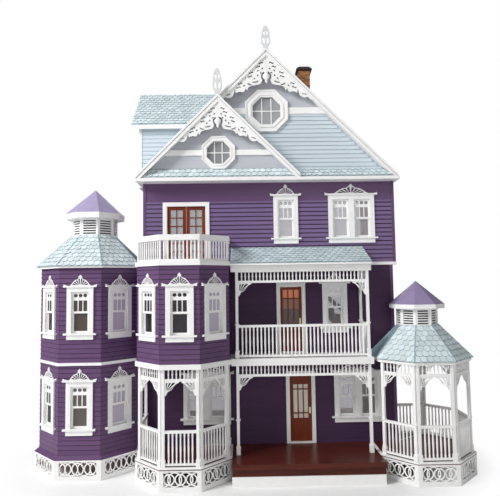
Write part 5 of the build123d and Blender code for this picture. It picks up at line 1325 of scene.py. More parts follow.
@dataclass
class Chimney:
    """Brick stack with a dark cap on the right slope."""

    gables: Gables
    brick_l: float = 0.0102  # length of a brick
    brick_h: float = 0.0046  # height of a course
    brick_out: float = 0.0009  # how far a brick stands out
    brick_spread: Span = (0.6, 1.5)  # least and greatest of that, as shares
    joint: float = 0.0008  # width of a mortar joint
    # Half width and height of the cap, as shares.
    cap_profile: tuple[Point, ...] = ((0.86, 0.0), (1.0, 0.10), (1.0, 0.22), (0.66, 0.62))

    def dress(self) -> None:
        """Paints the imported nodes."""
        dress("chimney_stack", MORTAR)

    def build(self) -> None:
        """Lays bricks on the four faces of the stack and makes the cap."""
        low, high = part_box("chimney_stack")
        wide = high.x - low.x
        pen = Pen("chimney_bricks")
        faces = (
            (Vector((low.x, low.y, 0.0)), RIGHT), (Vector((high.x, low.y, 0.0)), BACK),
            (Vector((high.x, high.y, 0.0)), LEFT), (Vector((low.x, high.y, 0.0)), FRONT),
        )
        rows = int((high.z - low.z) / self.brick_h)
        for row in range(rows):
            top = high.z - row * self.brick_h - self.joint / 2
            foot = top - self.brick_h + self.joint
            for corner, along in faces:
                out = along.cross(UP)
                start = self.brick_l * (0.5 if row % 2 else 1.0)
                marks = [start + k * self.brick_l for k in range(int(wide / self.brick_l) + 1)]
                cuts = [m for m in marks if self.joint * 3 < m < wide - self.joint * 3]
                for a, b in zip([0.0, *cuts], [*cuts, wide]):
                    base = corner + along * (a + self.joint / 2) + UP * foot
                    run, rise = along * (b - a - self.joint), UP * (top - foot)
                    if foot < self.slope((base + run / 2).x):
                        continue
                    push = out * self.brick_out * LUCK.uniform(*self.brick_spread)
                    outline = [base, base + run, base + run + rise, base + rise]
                    pen.prism(outline, push, 0, LUCK.random())
        pen.make(Slot.BRICK, BRICK)
        self.cap()

    def cap(self) -> None:
        """Makes the cap with sloping sides."""
        low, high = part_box("chimney_cap")
        middle = (low + high) / 2
        half = (high.x - low.x) / 2 * math.sqrt(2.0)
        tall = high.z - low.z
        pen = Pen("sloping_chimney_cap")
        foot = Vector((middle.x, middle.y, low.z))
        pen.lathe(foot, [(half * wide, tall * share) for wide, share in self.cap_profile], sides=4)
        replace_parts(pen.make(Slot.CAP, CAP_PAINT), "chimney_cap")

    def slope(self, x: float) -> float:
        """Height of the main roof at a place across."""
        return self.gables.high.z - abs(x - self.gables.ridge_x)


@dataclass
class RoundRoof:
    """Shingled octagonal roof with a louvred cupola and a lilac cap.

    Attributes:
        part: first word of the node names.
        plan: octagon it stands on.
        turns: outward angles of the slopes that are built.
        lilac: paint of the cap.
    """

    part: str
    plan: Octagon
    turns: Sequence[float]
    lilac: Finish
    louvre_depth: float = 0.0056  # the dark core of painted shade lies this far behind the outer face of the louvres
    hip_w: float = 0.0028  # width of the strip along a hip

    def dress(self) -> None:
        """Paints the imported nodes."""
        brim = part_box(f"{self.part}_cap")[0].z + self.brim_height()
        dress(f"{self.part}_roof", WHITE, Rule(SHINGLE_BASE, roof_top))
        dress(f"{self.part}_cupola", WHITE)
        dress(f"{self.part}_cap", WHITE, Rule(self.lilac, lambda c, n: roof_top(c, n) and c.z > brim))

    def brim_height(self) -> float:
        """Height of the upright rim of the cap."""
        low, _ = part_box(f"{self.part}_cap")
        return self.top_at_front(f"{self.part}_cap") - low.z

    def shadow_core(self) -> None:
        """Adds a dark core of painted shade that shows between the louvres."""
        low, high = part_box(f"{self.part}_cupola")
        apothem = self.plan.y - low.y - self.louvre_depth
        pen = Pen(f"{self.part}_louvre_shade_core")
        pen.prism(self.plan.ring(apothem, low.z), UP * (high.z - low.z))
        pen.make(Slot.CAP, SHADOW)

    def build(self) -> None:
        """Adds shingles, hip strips and the dark core of painted shade in the cupola."""
        self.shadow_core()
        roof_low, roof_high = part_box(f"{self.part}_roof")
        cupola_low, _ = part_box(f"{self.part}_cupola")
        eave_a = self.plan.y - roof_low.y
        top_a = self.plan.y - cupola_low.y
        eave_z = self.top_at_front(f"{self.part}_roof")
        pen = Pen(f"{self.part}_shingles")
        for turn in self.turns:
            self.plan.slope(turn, (eave_a, eave_z), (top_a, roof_high.z)).shingle(pen, LUCK)
        pen.make(Slot.SHINGLE, SHINGLE, SHINGLE_EDGE_SHADE)
        hips = Pen(f"{self.part}_hips")
        for turn in self.turns[1:]:
            angle = turn - HALF_OCTANT
            start = self.plan.corner(eave_a, angle, eave_z + SCALE_T)
            end = self.plan.corner(top_a, angle, roof_high.z + SCALE_T)
            side = Vector((-math.sin(angle), math.cos(angle), 0.0)) * (self.hip_w / 2)
            lift = (end - start).cross(side).normalized() * SCALE_LIFT
            lift = lift if lift.z > 0 else -lift
            hips.prism([start - side, start + side, end + side, end - side], lift)
        hips.make(Slot.SHINGLE, SHINGLE_BASE)

    def top_at_front(self, node: str) -> float:
        """Highest point on the foremost edge of a node."""
        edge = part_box(node)[0].y + FEATHER
        return max(v.co.z for v in mesh_of(node).vertices if v.co.y < edge)


def degrees(*turns: float) -> list[float]:
    """Angles in radians."""
    return [math.radians(turn) for turn in turns]


@dataclass
class Tower:
    """Octagonal tower at the left."""

    plan: Octagon
    fascia_t: float = 0.0025  # thickness of the roof's fascia, behind which the soffit ends
    soffit_t: float = 0.0045  # thickness of the soffit ring
    flare_reach: float = 0.02  # height up to which the tower mouldings are purple

    def __post_init__(self) -> None:
        """Makes the roof of the tower."""
        self.roof = RoundRoof("tower", self.plan, degrees(90, 135, 180, 225, 270, 315), LILAC)

    def dress(self) -> None:
        """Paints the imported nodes."""
        low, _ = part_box("tower_mouldings")
        dress("tower_walls", PURPLE, Rule(ROOM_PAINT, inward(self.plan)))
        dress("tower_mouldings", WHITE, Rule(PURPLE, lambda c, n: c.z < low.z + self.flare_reach))
        self.roof.dress()

    def build(self) -> None:
        """Adds clapboards, the soffit ring and the roof covering."""
        low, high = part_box("tower_walls")
        apothem = self.plan.y - low.y
        belts = sorted(s.span(UP) for s in solids("tower_mouldings"))
        flare_top = belts[0][1]
        belt_low, belt_high = belts[-1]
        pen = Pen("tower_clapboards")
        for turn in degrees(45, 135, 180, 225, 270, 315):
            for foot, head in ((flare_top, belt_low), (belt_high, high.z)):
                wall = self.plan.wall(apothem, turn, foot, head)
                leave_bare(wall, "window_casings", WINDOW_INSET)
                wall.clad(pen)
        pen.make(Slot.PURPLE, PURPLE, PURPLE_SHADE_LINE)
        ring = Pen("tower_soffit")
        outer = self.plan.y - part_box("tower_roof")[0].y - self.fascia_t
        for turn in degrees(135, 180, 225, 270, 315):
            spots = [
                self.plan.corner(a, turn + side * HALF_OCTANT, high.z - self.soffit_t)
                for a, side in ((apothem, -1), (outer, -1), (outer, 1), (apothem, 1))
            ]
            ring.prism(spots, UP * self.soffit_t)
        ring.make(Slot.WHITE, WHITE)
        self.roof.build()


# Radius of a spindle, and height as a share.
SPINDLE = (
    (0.0022, 0.0), (0.0022, 0.10), (0.0018, 0.14), (0.0023, 0.48), (0.0018, 0.84), (0.0022, 0.90),
    (0.0022, 1.0),
)


@dataclass
class Bay:
    """Front bay with its upper room and the balcony on top."""

    plan: Octagon
    balcony_cap_w: float = 0.010  # width of the hand rail
    balcony_cap_h: float = 0.0135  # height of the hand rail
    balcony_foot: float = 0.005  # height of the foot rail
    balcony_foot_w: float = 0.005  # width of the foot rail
    balcony_pitch: float = 0.0088  # distance between two spindles
    balcony_post: float = 0.0027  # radius of a corner post

    def dress(self) -> None:
        """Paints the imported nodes."""
        dress("bay_walls", PURPLE, Rule(ROOM_PAINT, inward(self.plan)))
        for node in ("bay_floor", "balcony_floor"):
            dress(node, WHITE)

    def path(self, apothem: float, back: float, z: float) -> list[Vector]:
        """Line round the bay from wall to wall.

        Args:
            apothem: distance of the line from the middle.
            back: place of the wall in depth.
            z: height of the line.

        Returns:
            Its corners, from left to right.
        """
        corners = [self.plan.corner(apothem, turn, z) for turn in degrees(202.5, 247.5, 292.5, 337.5)]
        ends = [Vector((self.plan.x + side * apothem, back, z)) for side in (-1, 1)]
        return [ends[0], *corners, ends[1]]

    def balustrade(self) -> None:
        """Makes the balcony railing: a deep cap, a foot rail, corner posts and turned spindles."""
        low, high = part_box("balcony_railing")
        outer = self.plan.y - low.y
        middle = outer - self.balcony_cap_w / 2
        pen = Pen("balcony_balustrade")
        rails = (
            (low.z, low.z + self.balcony_foot, self.balcony_foot_w),
            (high.z - self.balcony_cap_h, high.z, self.balcony_cap_w),
        )
        for foot, head, wide in rails:
            front = self.path(middle + wide / 2, high.y, foot)
            rear = self.path(middle - wide / 2, high.y, foot)
            for k in range(len(front) - 1):
                pen.prism([front[k], front[k + 1], rear[k + 1], rear[k]], UP * (head - foot))
        room = high.z - low.z - self.balcony_cap_h - self.balcony_foot
        line = self.path(middle, high.y, low.z + self.balcony_foot)
        for here, after in zip(line, line[1:]):
            count = max(1, round((after - here).length / self.balcony_pitch))
            for k in range(1, count):
                spot = here.lerp(after, k / count)
                pen.lathe(spot, [(radius, share * room) for radius, share in SPINDLE])
        for corner in line[1:-1]:
            pen.lathe(corner, [(self.balcony_post, 0.0), (self.balcony_post, room)])
        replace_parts(pen.make(Slot.WHITE, WHITE), "balcony_railing")

    def build(self) -> None:
        """Lays the clapboards and makes the balcony railing."""
        self.balustrade()
        low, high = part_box("bay_walls")
        pen = Pen("bay_clapboards")
        for turn in degrees(225, 270, 315):
            wall = self.plan.wall(self.plan.y - low.y, turn, low.z, high.z)
            leave_bare(wall, "window_casings", WINDOW_INSET)
            wall.clad(pen)
        half = (high.x - low.x) / 2 * math.tan(HALF_OCTANT)
        depth = high.y - self.plan.y + half
        start = Vector((low.x, high.y, low.z))
        WallFace(start, FRONT, depth, high.z - low.z).clad(pen)
        start = Vector((high.x, self.plan.y - half, low.z))
        WallFace(start, BACK, depth, high.z - low.z).clad(pen)
        pen.make(Slot.PURPLE, PURPLE, PURPLE_SHADE_LINE)


LATTICE_BAR = 0.0026     # width of a lattice ring
RING_BITE = 0.0003       # ring reaching into its frame
FAN_RAYS = (-1.0, 0.0, 1.0)  # directions along a slit, in halves of its width
FAN_FAR = 1.0            # longest slit, counted from the centre


def circle(middle: Point, radius: float, steps: int = 28) -> list[Point]:
    """Points of a circle."""
    turns = (k * math.tau / steps for k in range(steps))
    return [(middle[0] + radius * math.cos(a), middle[1] + radius * math.sin(a)) for a in turns]


def ring_loops(middle: Point, radius: float, half: int) -> list[list[Point]]:
    """Edges of a lattice ring.

    Args:
        middle: middle of the ring.
        radius: radius of the window that it fills.
        half: 0 for a whole ring, -1 for its right half alone, 1 for its left half.

    Returns:
        Outer and inner circle, or the one outline of a half ring.
    """
    outer, inner = (circle(middle, radius - inset) for inset in (-RING_BITE, LATTICE_BAR))
    if half == 0:
        return [outer, inner]
    quarter = len(outer) // 4
    start = quarter if half > 0 else -quarter
    order = [(start + k) % len(outer) for k in range(2 * quarter + 1)]
    return [[outer[k] for k in order] + [inner[k] for k in order[::-1]]]


def reach(outline: Sequence[Point], centre: Point, turn: float) -> float:
    """Distance from a fan's centre to its edge.

    Args:
        outline: edge of the fan.
        centre: where its ribs meet.
        turn: direction in radians.

    Returns:
        The distance to the nearest edge in that direction, or the longest slit if that is less.
    """
    best = FAN_FAR
    ax, ay = centre
    dx, dy = math.cos(turn), math.sin(turn)
    for (x0, y0), (x1, y1) in zip(outline, [*outline[1:], outline[0]]):
        ex, ey = x1 - x0, y1 - y0
        cross = dx * ey - dy * ex
        if abs(cross) < 1e-9:
            continue
        far = ((x0 - ax) * ey - (y0 - ay) * ex) / cross
        along = ((x0 - ax) * dy - (y0 - ay) * dx) / cross
        if far > 0.0 and 0.0 <= along <= 1.0:
            best = min(best, far)
    return best


@dataclass(frozen=True)
class Fan:
    """Ribs of a pierced fan, in shares of its size.

    Attributes:
        centre: where the ribs meet.
        turns: direction of each slit in degrees.
        half: half the width of a slit in degrees.
        hub: distance from the centre at which the slits start.
        rim: width left solid along the edge.
        foot: height over the centre that is left solid.
    """

    centre: Point
    turns: tuple[float, ...]
    half: float
    hub: float
    rim: float
    foot: float = 0.0

    def slits(self, outline: Sequence[Point]) -> list[list[Point]]:
        """Finds the edges of the slits.

        Args:
            outline: outer edge of the fan.

        Returns:
            The edge of each slit.
        """
        loops = []
        for turn in self.turns:
            rays = [math.radians(turn + share * self.half) for share in FAN_RAYS]
            far = [self.spot(ray, reach(outline, self.centre, ray) - self.rim) for ray in rays]
            near = [self.spot(ray, max(self.hub, self.foot / math.sin(ray))) for ray in rays[::-1]]
            loops.append([*far, *near])
        return loops

    def spot(self, turn: float, far: float) -> Point:
        """Point at an angle and a distance from the centre."""
        return self.centre[0] + far * math.cos(turn), self.centre[1] + far * math.sin(turn)


@dataclass
class Porch:
    """Decks, posts, railings, friezes, lattice skirts and the shed roof.

    Attributes:
        plans: octagons of the bay and the gazebo.
    """

    plans: tuple[Octagon, Octagon]
    collar_r: float = 0.0060  # radius of a post collar
    collar_h: float = 0.0032  # height of a post collar
    rail_top: float = 0.083  # collar at the hand rail, over the foot of the post
    foot_top: float = 0.016  # collar at the plinth of the post
    post_min: float = 0.12  # shorter solids in the posts node are not posts
    rail_foot: float = 0.0050  # height of a foot rail
    rail_head: float = 0.0062  # height of a hand rail
    rail_grow: float = 0.0012  # head rail wider than the sheet, each side
    spindle_pitch: float = 0.0097  # distance between two spindles
    frieze_foot: float = 0.0058  # height of the lower rail of a frieze
    frieze_head: float = 0.0012  # height of its upper rail
    frieze_pitch: float = 0.0092  # distance between two frieze spindles
    # Radius of a frieze spindle, and height as a share.
    frieze_spindle: tuple[Point, ...] = (
        (0.0016, 0.0), (0.0016, 0.32), (0.0023, 0.5), (0.0016, 0.68), (0.0016, 1.0),
    )
    # Fan bracket, in shares of its size: out from the post, and down from the frieze.
    fan_edge: tuple[tuple[Point, ...], ...] = (
        (
            (1.0, 0.0), (1.0, 0.07), (0.90, 0.11), (0.74, 0.21), (0.62, 0.36), (0.50, 0.53), (0.36, 0.63),
            (0.27, 0.66),
        ),
        ((0.27, 0.66), (0.20, 0.72), (0.16, 0.82), (0.10, 0.93), (0.0, 1.0)),
    )
    fan_tail: float = 0.002  # tip of a bracket, which shows the side of its post
    lattice_low: float = 0.0110  # lower edge of the ring window
    lattice_high: float = 0.0450  # upper edge of the ring window
    lattice_share: float = 0.80  # width of the ring window, as a share of the board
    plain_faces: int = 20  # a board with fewer faces has no window
    ring_t: float = 0.0016  # thickness of a ring
    ring_pitch: float = 1.59  # distance between two large rings, as a share of their radius
    ring_weave: float = 0.0004  # how far a ring lies in front of the last
    lip_w: float = 0.0075  # width of the lip round a deck
    lip_drop: float = 0.0030  # how far the lip hangs down
    lip_rise: float = 0.0005  # how far it stands up
    lip_near: float = 0.02  # how far the middle of a deck may lie from its octagon
    lip_widest: float = 0.26  # a wider deck has no lip
    # Slits of a fan bracket.
    bracket_fan: Fan = Fan((0.08, 0.70), (-12.0, -30.0, -47.0, -64.0, -82.0), 5.5, 0.15, 0.085)
    eave_lip: float = 0.0045  # front edge of the shed roof

    def dress(self) -> None:
        """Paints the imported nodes."""
        dress("decks", DECK_WOOD)
        dress("porch_roof", WHITE, Rule(SHINGLE_BASE, roof_top))
        for node in ("porch_base", "upper_porch_floor", "posts"):
            dress(node, WHITE)

    def collars(self) -> None:
        """Adds turned collars to the posts, at the foot block and at the rail."""
        pen = Pen("post_collars")
        for solid in solids("posts"):
            low, high = solid.span(UP)
            if high - low < self.post_min:
                continue
            middle = solid.middle()
            plan = Octagon(middle.x, middle.y)
            for up in (self.foot_top, self.rail_top):
                pen.prism(plan.ring(self.collar_r, low + up), UP * self.collar_h)
        pen.make(Slot.WHITE, WHITE)

    @staticmethod
    def spindled(
        pen: Pen, node: str, rails: tuple[float, float, float], pitch: float, spindle: Sequence[Point]
    ) -> None:
        """Adds open panels: a rail at foot and head with turned spindles between them.

        Args:
            pen: piece that takes the panels.
            node: packed panels whose place and size they take.
            rails: height of the foot rail and of the head rail, and how far the head rail stands out.
            pitch: distance between two spindles.
            spindle: radius of a spindle, and height as a share.
        """
        foot, head, grow = rails
        for solid in solids(node):
            board, width, thick = board_of(node, solid)
            tall = solid.span(UP)[1] - solid.span(UP)[0]
            half = width / 2
            for low, high, out in ((0.0, foot, 0.0), (tall - head, tall, grow)):
                pen.plate(board, [rectangle(-half, half, low, high)], -thick - out, out)
            count = round(width / pitch)
            room = tall - foot - head
            for k in range(count - 1):
                spot = board.at(((k + 1) * width / count - half, foot), -thick / 2)
                pen.lathe(spot, [(radius, share * room) for radius, share in spindle])

    def railings(self) -> None:
        """Makes the railings."""
        pen = Pen("turned_railings")
        rails = (self.rail_foot, self.rail_head, self.rail_grow)
        self.spindled(pen, "railings", rails, self.spindle_pitch, SPINDLE)
        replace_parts(pen.make(Slot.WHITE, WHITE), "railings")

    def friezes(self) -> None:
        """Makes the friezes, which have short beaded spindles."""
        pen = Pen("spindle_friezes")
        rails = (self.frieze_foot, self.frieze_head, 0.0)
        self.spindled(pen, "friezes", rails, self.frieze_pitch, self.frieze_spindle)
        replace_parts(pen.make(Slot.WHITE, WHITE), "friezes")

    def brackets(self) -> None:
        """Makes the pierced fan brackets under the friezes."""
        pen = Pen("fan_brackets")
        edge = [spot for part in self.fan_edge for spot in smooth(part)[:-1]]
        outline = [(0.0, 0.0), *edge, (0.0, 1.0)]
        loops = [outline, *self.bracket_fan.slits(outline)]
        for solid in solids("frieze_brackets"):
            board, width, thick = board_of("frieze_brackets", solid)
            low, high = solid.span(UP)
            tail = [p for p in solid.points if p.z < low + self.fan_tail]
            side = 1 if (sum(tail, Vector()) / len(tail) - board.origin).dot(board.across) < 0.0 else -1
            placed = [
                [(side * (u - 0.5) * width, (high - low) * (1.0 - w)) for u, w in loop] for loop in loops
            ]
            pen.plate(board, placed, -thick, 0.0)
        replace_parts(pen.make(Slot.WHITE, WHITE), "frieze_brackets")

    def skirts(self) -> None:
        """Makes the skirts: a board with a window of interlaced rings, or a plain board at the back."""
        pen = Pen("ring_lattice_skirts")
        middle = (self.lattice_low + self.lattice_high) / 2
        radius = (self.lattice_high - self.lattice_low) / 2
        for solid in solids("lattice_skirts"):
            board, width, thick = board_of("lattice_skirts", solid)
            tall = solid.span(UP)[1]
            half = width / 2
            loops = [rectangle(-half, half, 0.0, tall)]
            if len(solid.faces) > self.plain_faces:
                side = half * self.lattice_share
                loops.append(rectangle(-side, side, self.lattice_low, self.lattice_high))
                last = 2 * round(2 * side / (self.ring_pitch * radius))
                step = 2 * side / last
                for k in range(last + 1):
                    centre = (k * step - side, middle)
                    size = step if k % 2 else radius
                    ring = ring_loops(centre, size, (k > 0) - (k < last))
                    rise = -thick / 2 + self.ring_weave * (k % 4)
                    pen.plate(board, ring, rise - self.ring_t, rise)
            pen.plate(board, loops, -thick, 0.0)
        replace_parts(pen.make(Slot.WHITE, WHITE), "lattice_skirts")

    def lips(self) -> None:
        """Adds a white lip round the decks of the bay and the gazebo."""
        pen = Pen("deck_lips")
        house_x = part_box("lower_front_wall")[1].x
        house_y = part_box("lower_front_wall")[0].y
        for solid, plan in ((s, p) for p in self.plans for s in solids("decks")):
            left, right = solid.span(RIGHT)
            if abs((left + right) / 2 - plan.x) > self.lip_near or right - left > self.lip_widest:
                continue
            top = solid.span(UP)[1]
            apothem = plan.y - solid.span(BACK)[0]
            outer, inner = apothem + FEATHER, apothem - self.lip_w
            edges = ((outer, -1), (outer, 1), (inner, 1), (inner, -1))
            foot = top - self.lip_drop
            for turn in degrees(180, 225, 270, 315, 360, 405, 450):
                spots = [plan.corner(a, turn + side * HALF_OCTANT, foot) for a, side in edges]
                ends = [self.kept(spot, house_x, house_y) for spot in spots]
                if (ends[1] - ends[0]).length > self.lip_w and (ends[2] - ends[3]).length > self.lip_w / 2:
                    pen.prism(ends, UP * (self.lip_drop + self.lip_rise))
        pen.make(Slot.WHITE, WHITE)

    @staticmethod
    def kept(spot: Vector, wall_x: float, wall_y: float) -> Vector:
        """Point moved to the front of the house wall if it would lie inside the house."""
        inside = spot.x < wall_x and spot.y > wall_y
        return Vector((spot.x, wall_y, spot.z)) if inside else spot

    def build(self) -> None:
        """Adds the shingles of the shed roof and the white woodwork."""
        low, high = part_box("porch_roof")
        slab = max(solids("porch_roof"), key=lambda s: s.span(UP)[1])
        lip = min(p.z for p in slab.points) + self.eave_lip
        corners = [
            (low.x, low.y, lip), (high.x, low.y, lip), (high.x, high.y, high.z), (low.x, high.y, high.z),
        ]
        pen = Pen("porch_shingles")
        RoofFace([Vector(corner) for corner in corners]).shingle(pen, LUCK)
        pen.make(Slot.SHINGLE, SHINGLE, SHINGLE_EDGE_SHADE)
        self.collars()
        self.railings()
        self.friezes()
        self.brackets()
        self.skirts()
        self.lips()


@dataclass
class Gazebo:
    """Roof of the octagonal gazebo at the right."""

    plan: Octagon

    def __post_init__(self) -> None:
        """Makes the roof of the gazebo."""
        # The gazebo cap takes the lilac darkened as painted shade.
        self.roof = RoundRoof("gazebo", self.plan, degrees(225, 270, 315, 360, 405, 450), LILAC_SHADE)

    def dress(self) -> None:
        """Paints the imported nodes."""
        self.roof.dress()

    def build(self) -> None:
        """Adds the roof covering."""
        self.roof.build()


@dataclass
class Windows:
    """Casings and sashes with their glass."""

    tower: Octagon
    bay: Octagon
    # Slits of a crown.
    crown_fan: Fan = Fan(
        (0.0, -0.12), (25.0, 43.0, 62.0, 80.0, 100.0, 118.0, 137.0, 155.0), 6.5, 0.27, 0.085, 0.19
    )
    # Nodes of the sliding sashes.
    sashes: tuple[str, ...] = (
        "sash_tower_ground_left", "sash_tower_ground_front", "sash_tower_ground_right",
        "sash_tower_upper_left", "sash_tower_upper_front", "sash_tower_upper_right",
        "sash_bay_left", "sash_bay_front", "sash_bay_right", "sash_third_floor", "sash_upper_porch",
    )
    crown_half: float = 0.027  # half width of the crown over one window
    pair_crown_half: float = 0.050  # the same over a pair
    pair_width: float = 0.100  # a unit that is wider holds a pair
    crown_touch: float = 0.0001  # faces up to here belong to the lintel
    # Right half of a crown's edge, in shares of its half width and its height.
    crown_edge: tuple[Point, ...] = (
        (1.0, 0.0), (0.86, 0.14), (0.72, 0.34), (0.50, 0.58), (0.24, 0.70), (0.13, 0.86), (0.0, 1.0),
    )
    # Beads at the tip of a crown: place across and depth under the tip.
    crown_trefoil: tuple[Point, ...] = ((0.0, 0.0012), (-0.0026, 0.0044), (0.0026, 0.0044))
    crown_tip: float = 0.003  # part of the crown that shows its depth
    crown_tall: float = 0.0245  # height of the crown over the lintel
    # Radius and height along one of those beads.
    crown_bead: tuple[Point, ...] = ((0.0012, 0.0), (0.0023, 0.0014), (0.0023, 0.0030), (0.0010, 0.0044))
    # Ear on the end of a lintel: out from that end, and up.
    lintel_ear: tuple[Point, ...] = (
        (-0.0110, 0.0), (0.0, 0.0), (0.0009, 0.0031), (-0.0008, 0.0038), (-0.0032, 0.0020),
        (-0.0070, 0.0014),
    )
    plan_reach: float = 0.135  # a sash this near to an octagon belongs to it
    sash_aside: float = 0.03  # a sash this near to the middle faces the viewer

    def glass(self, middle: Vector) -> Glazing:
        """Glass with a painted view of the room behind a window: pale film on the right side panes of the
        tower and bay, where the room shows lit, and brown or dark film on the others, where it shows in
        shade.

        Args:
            middle: middle of the sash.

        Returns:
            The glass.
        """
        for plan, front in ((self.tower, GLASS_BROWN), (self.bay, GLASS_DARK)):
            if (Vector((plan.x, plan.y)) - middle.xy).length < self.plan_reach and middle.y < plan.y:
                aside = middle.x - plan.x
                if abs(aside) < self.sash_aside:
                    return front
                return GLASS_PALE if aside > 0 else GLASS_DARK
        return GLASS_CLEAR

    def dress(self) -> None:
        """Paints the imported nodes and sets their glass."""
        dress("window_casings", WHITE)
        for node in ("fixed_sashes", *self.sashes):
            dress(node, WHITE)
            glaze(node, self.glass)

    def build(self) -> None:
        """Makes the casings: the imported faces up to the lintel, a pierced crown and two ears."""
        pen = Pen("laced_window_casings")
        mesh = mesh_of("window_casings")
        right = smooth(self.crown_edge)
        outline = [*right, *[(-u, w) for u, w in right[-2::-1]]]
        hood = [*outline, (-1.0, -1.0), (1.0, -1.0)]
        crown = [outline, *self.crown_fan.slits(hood)]
        for solid in solids("window_casings"):
            board, width, _ = board_of("window_casings", solid)
            low, high = solid.span(UP)
            lintel = high - low - self.crown_tall
            for f in solid.faces:
                corners = [mesh.vertices[v].co.copy() for v in mesh.polygons[f].vertices]
                if max(corner.z for corner in corners) < low + lintel + self.crown_touch:
                    pen.face(corners)
            tips = [p for p in solid.points if p.z > high - self.crown_tip]
            depths = [(p - board.origin).dot(board.out()) for p in tips]
            near, far = min(depths), max(depths)
            half = self.crown_half if width < self.pair_width else self.pair_crown_half
            placed = [[(u * half, lintel + w * self.crown_tall) for u, w in loop] for loop in crown]
            pen.plate(board, placed, near, far)
            for aside, drop in self.crown_trefoil:
                spot = (aside, lintel + self.crown_tall - drop)
                pen.lathe(board.at(spot, (near + far) / 2), self.crown_bead)
            for side in (-1, 1):
                ear = [(side * (width / 2 + u), lintel + w) for u, w in self.lintel_ear]
                pen.plate(board, [ear], near, far)
        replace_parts(pen.make(Slot.WHITE, WHITE), "window_casings")


@dataclass
class Doors:
    """Door frames, leaves and handles."""

    # Leaf of the upper door: bar and pin in metres, the rest in shares of its size.
    leaf_sides: Span = (0.12, 0.88)  # left and right edge of the lights
    leaf_lights: int = 3  # lights in a row
    leaf_bar: float = 0.0024  # width of a glazing bar
    leaf_pin: float = 0.0024  # hinge pin above and below the leaf
    leaf_rows: tuple[Span, ...] = ((0.365, 0.81), (0.828, 0.957))  # foot and head of each row of lights
    leaf_panel: Span = (0.09, 0.315)  # foot and head of the sunk panel
    # Finish, foot and head of each pane; their films step from bright at the top to dark below, painted
    # light of the room behind the door.
    leaf_glass: tuple[tuple[int, float, float], ...] = ((1, 0.82, 0.96), (2, 0.66, 0.82), (3, 0.36, 0.66))
    leaf_pane: Span = (0.35, 0.60)  # depth of the panes, as shares of the thickness

    def dress(self) -> None:
        """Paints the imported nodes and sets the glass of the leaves."""
        dress("door_frames", WHITE)
        for node in ("front_door", "french_door_left", "french_door_right"):
            dress(node, DOOR_WOOD)
            glaze(node, lambda _: GLASS_CREAM if node == "front_door" else GLASS_CLEAR)
        for node in ("front_door_handle", "upper_door_handle"):
            dress(node, BRASS)

    def build(self) -> None:
        """Makes the upper door's leaf: lights up to the top rail, a sunk panel and a round hinge edge."""
        low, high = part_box("upper_door")
        low, high = low + UP * self.leaf_pin, high - UP * self.leaf_pin
        board = Board(low, RIGHT)
        size = high - low
        left, right = (share * size.x for share in self.leaf_sides)
        step = (right - left + self.leaf_bar) / self.leaf_lights
        holes = [(left, right, self.leaf_panel)]
        for k in range(self.leaf_lights):
            edges = (left + k * step, left + (k + 1) * step - self.leaf_bar)
            holes += [(*edges, row) for row in self.leaf_rows]
        barrel = size.y / 2
        loops = [rectangle(barrel, size.x, 0.0, size.z)]
        for x0, x1, (foot, head) in holes:
            loops.append(rectangle(x0, x1, foot * size.z, head * size.z))
        pen = Pen("upper_door_leaf")
        pen.plate(board, loops, -size.y, 0.0)
        hinge = low + Vector((barrel, barrel, 0.0))
        pen.lathe(hinge, [(barrel, 0.0), (barrel, size.z)], sides=16)
        pin = self.leaf_pin / 2
        pen.lathe(hinge - UP * self.leaf_pin, [(pin, 0.0), (pin, size.z + 2 * self.leaf_pin)])
        # The glass panes take films that step from bright to dark downward: painted light.
        for mark, foot, head in ((0, *self.leaf_panel), *self.leaf_glass):
            near, far = (low.y + share * size.y for share in self.leaf_pane)
            start = Vector((low.x + left, near, low.z + foot * size.z))
            pen.box(start, Vector((low.x + right, far, low.z + head * size.z)), mark)
        made = pen.make(Slot.MAHOGANY, DOOR_WOOD, GLASS_SUN, GLASS_AMBER, GLASS_DUSK, body="upper_door")
        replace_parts(made, "upper_door")


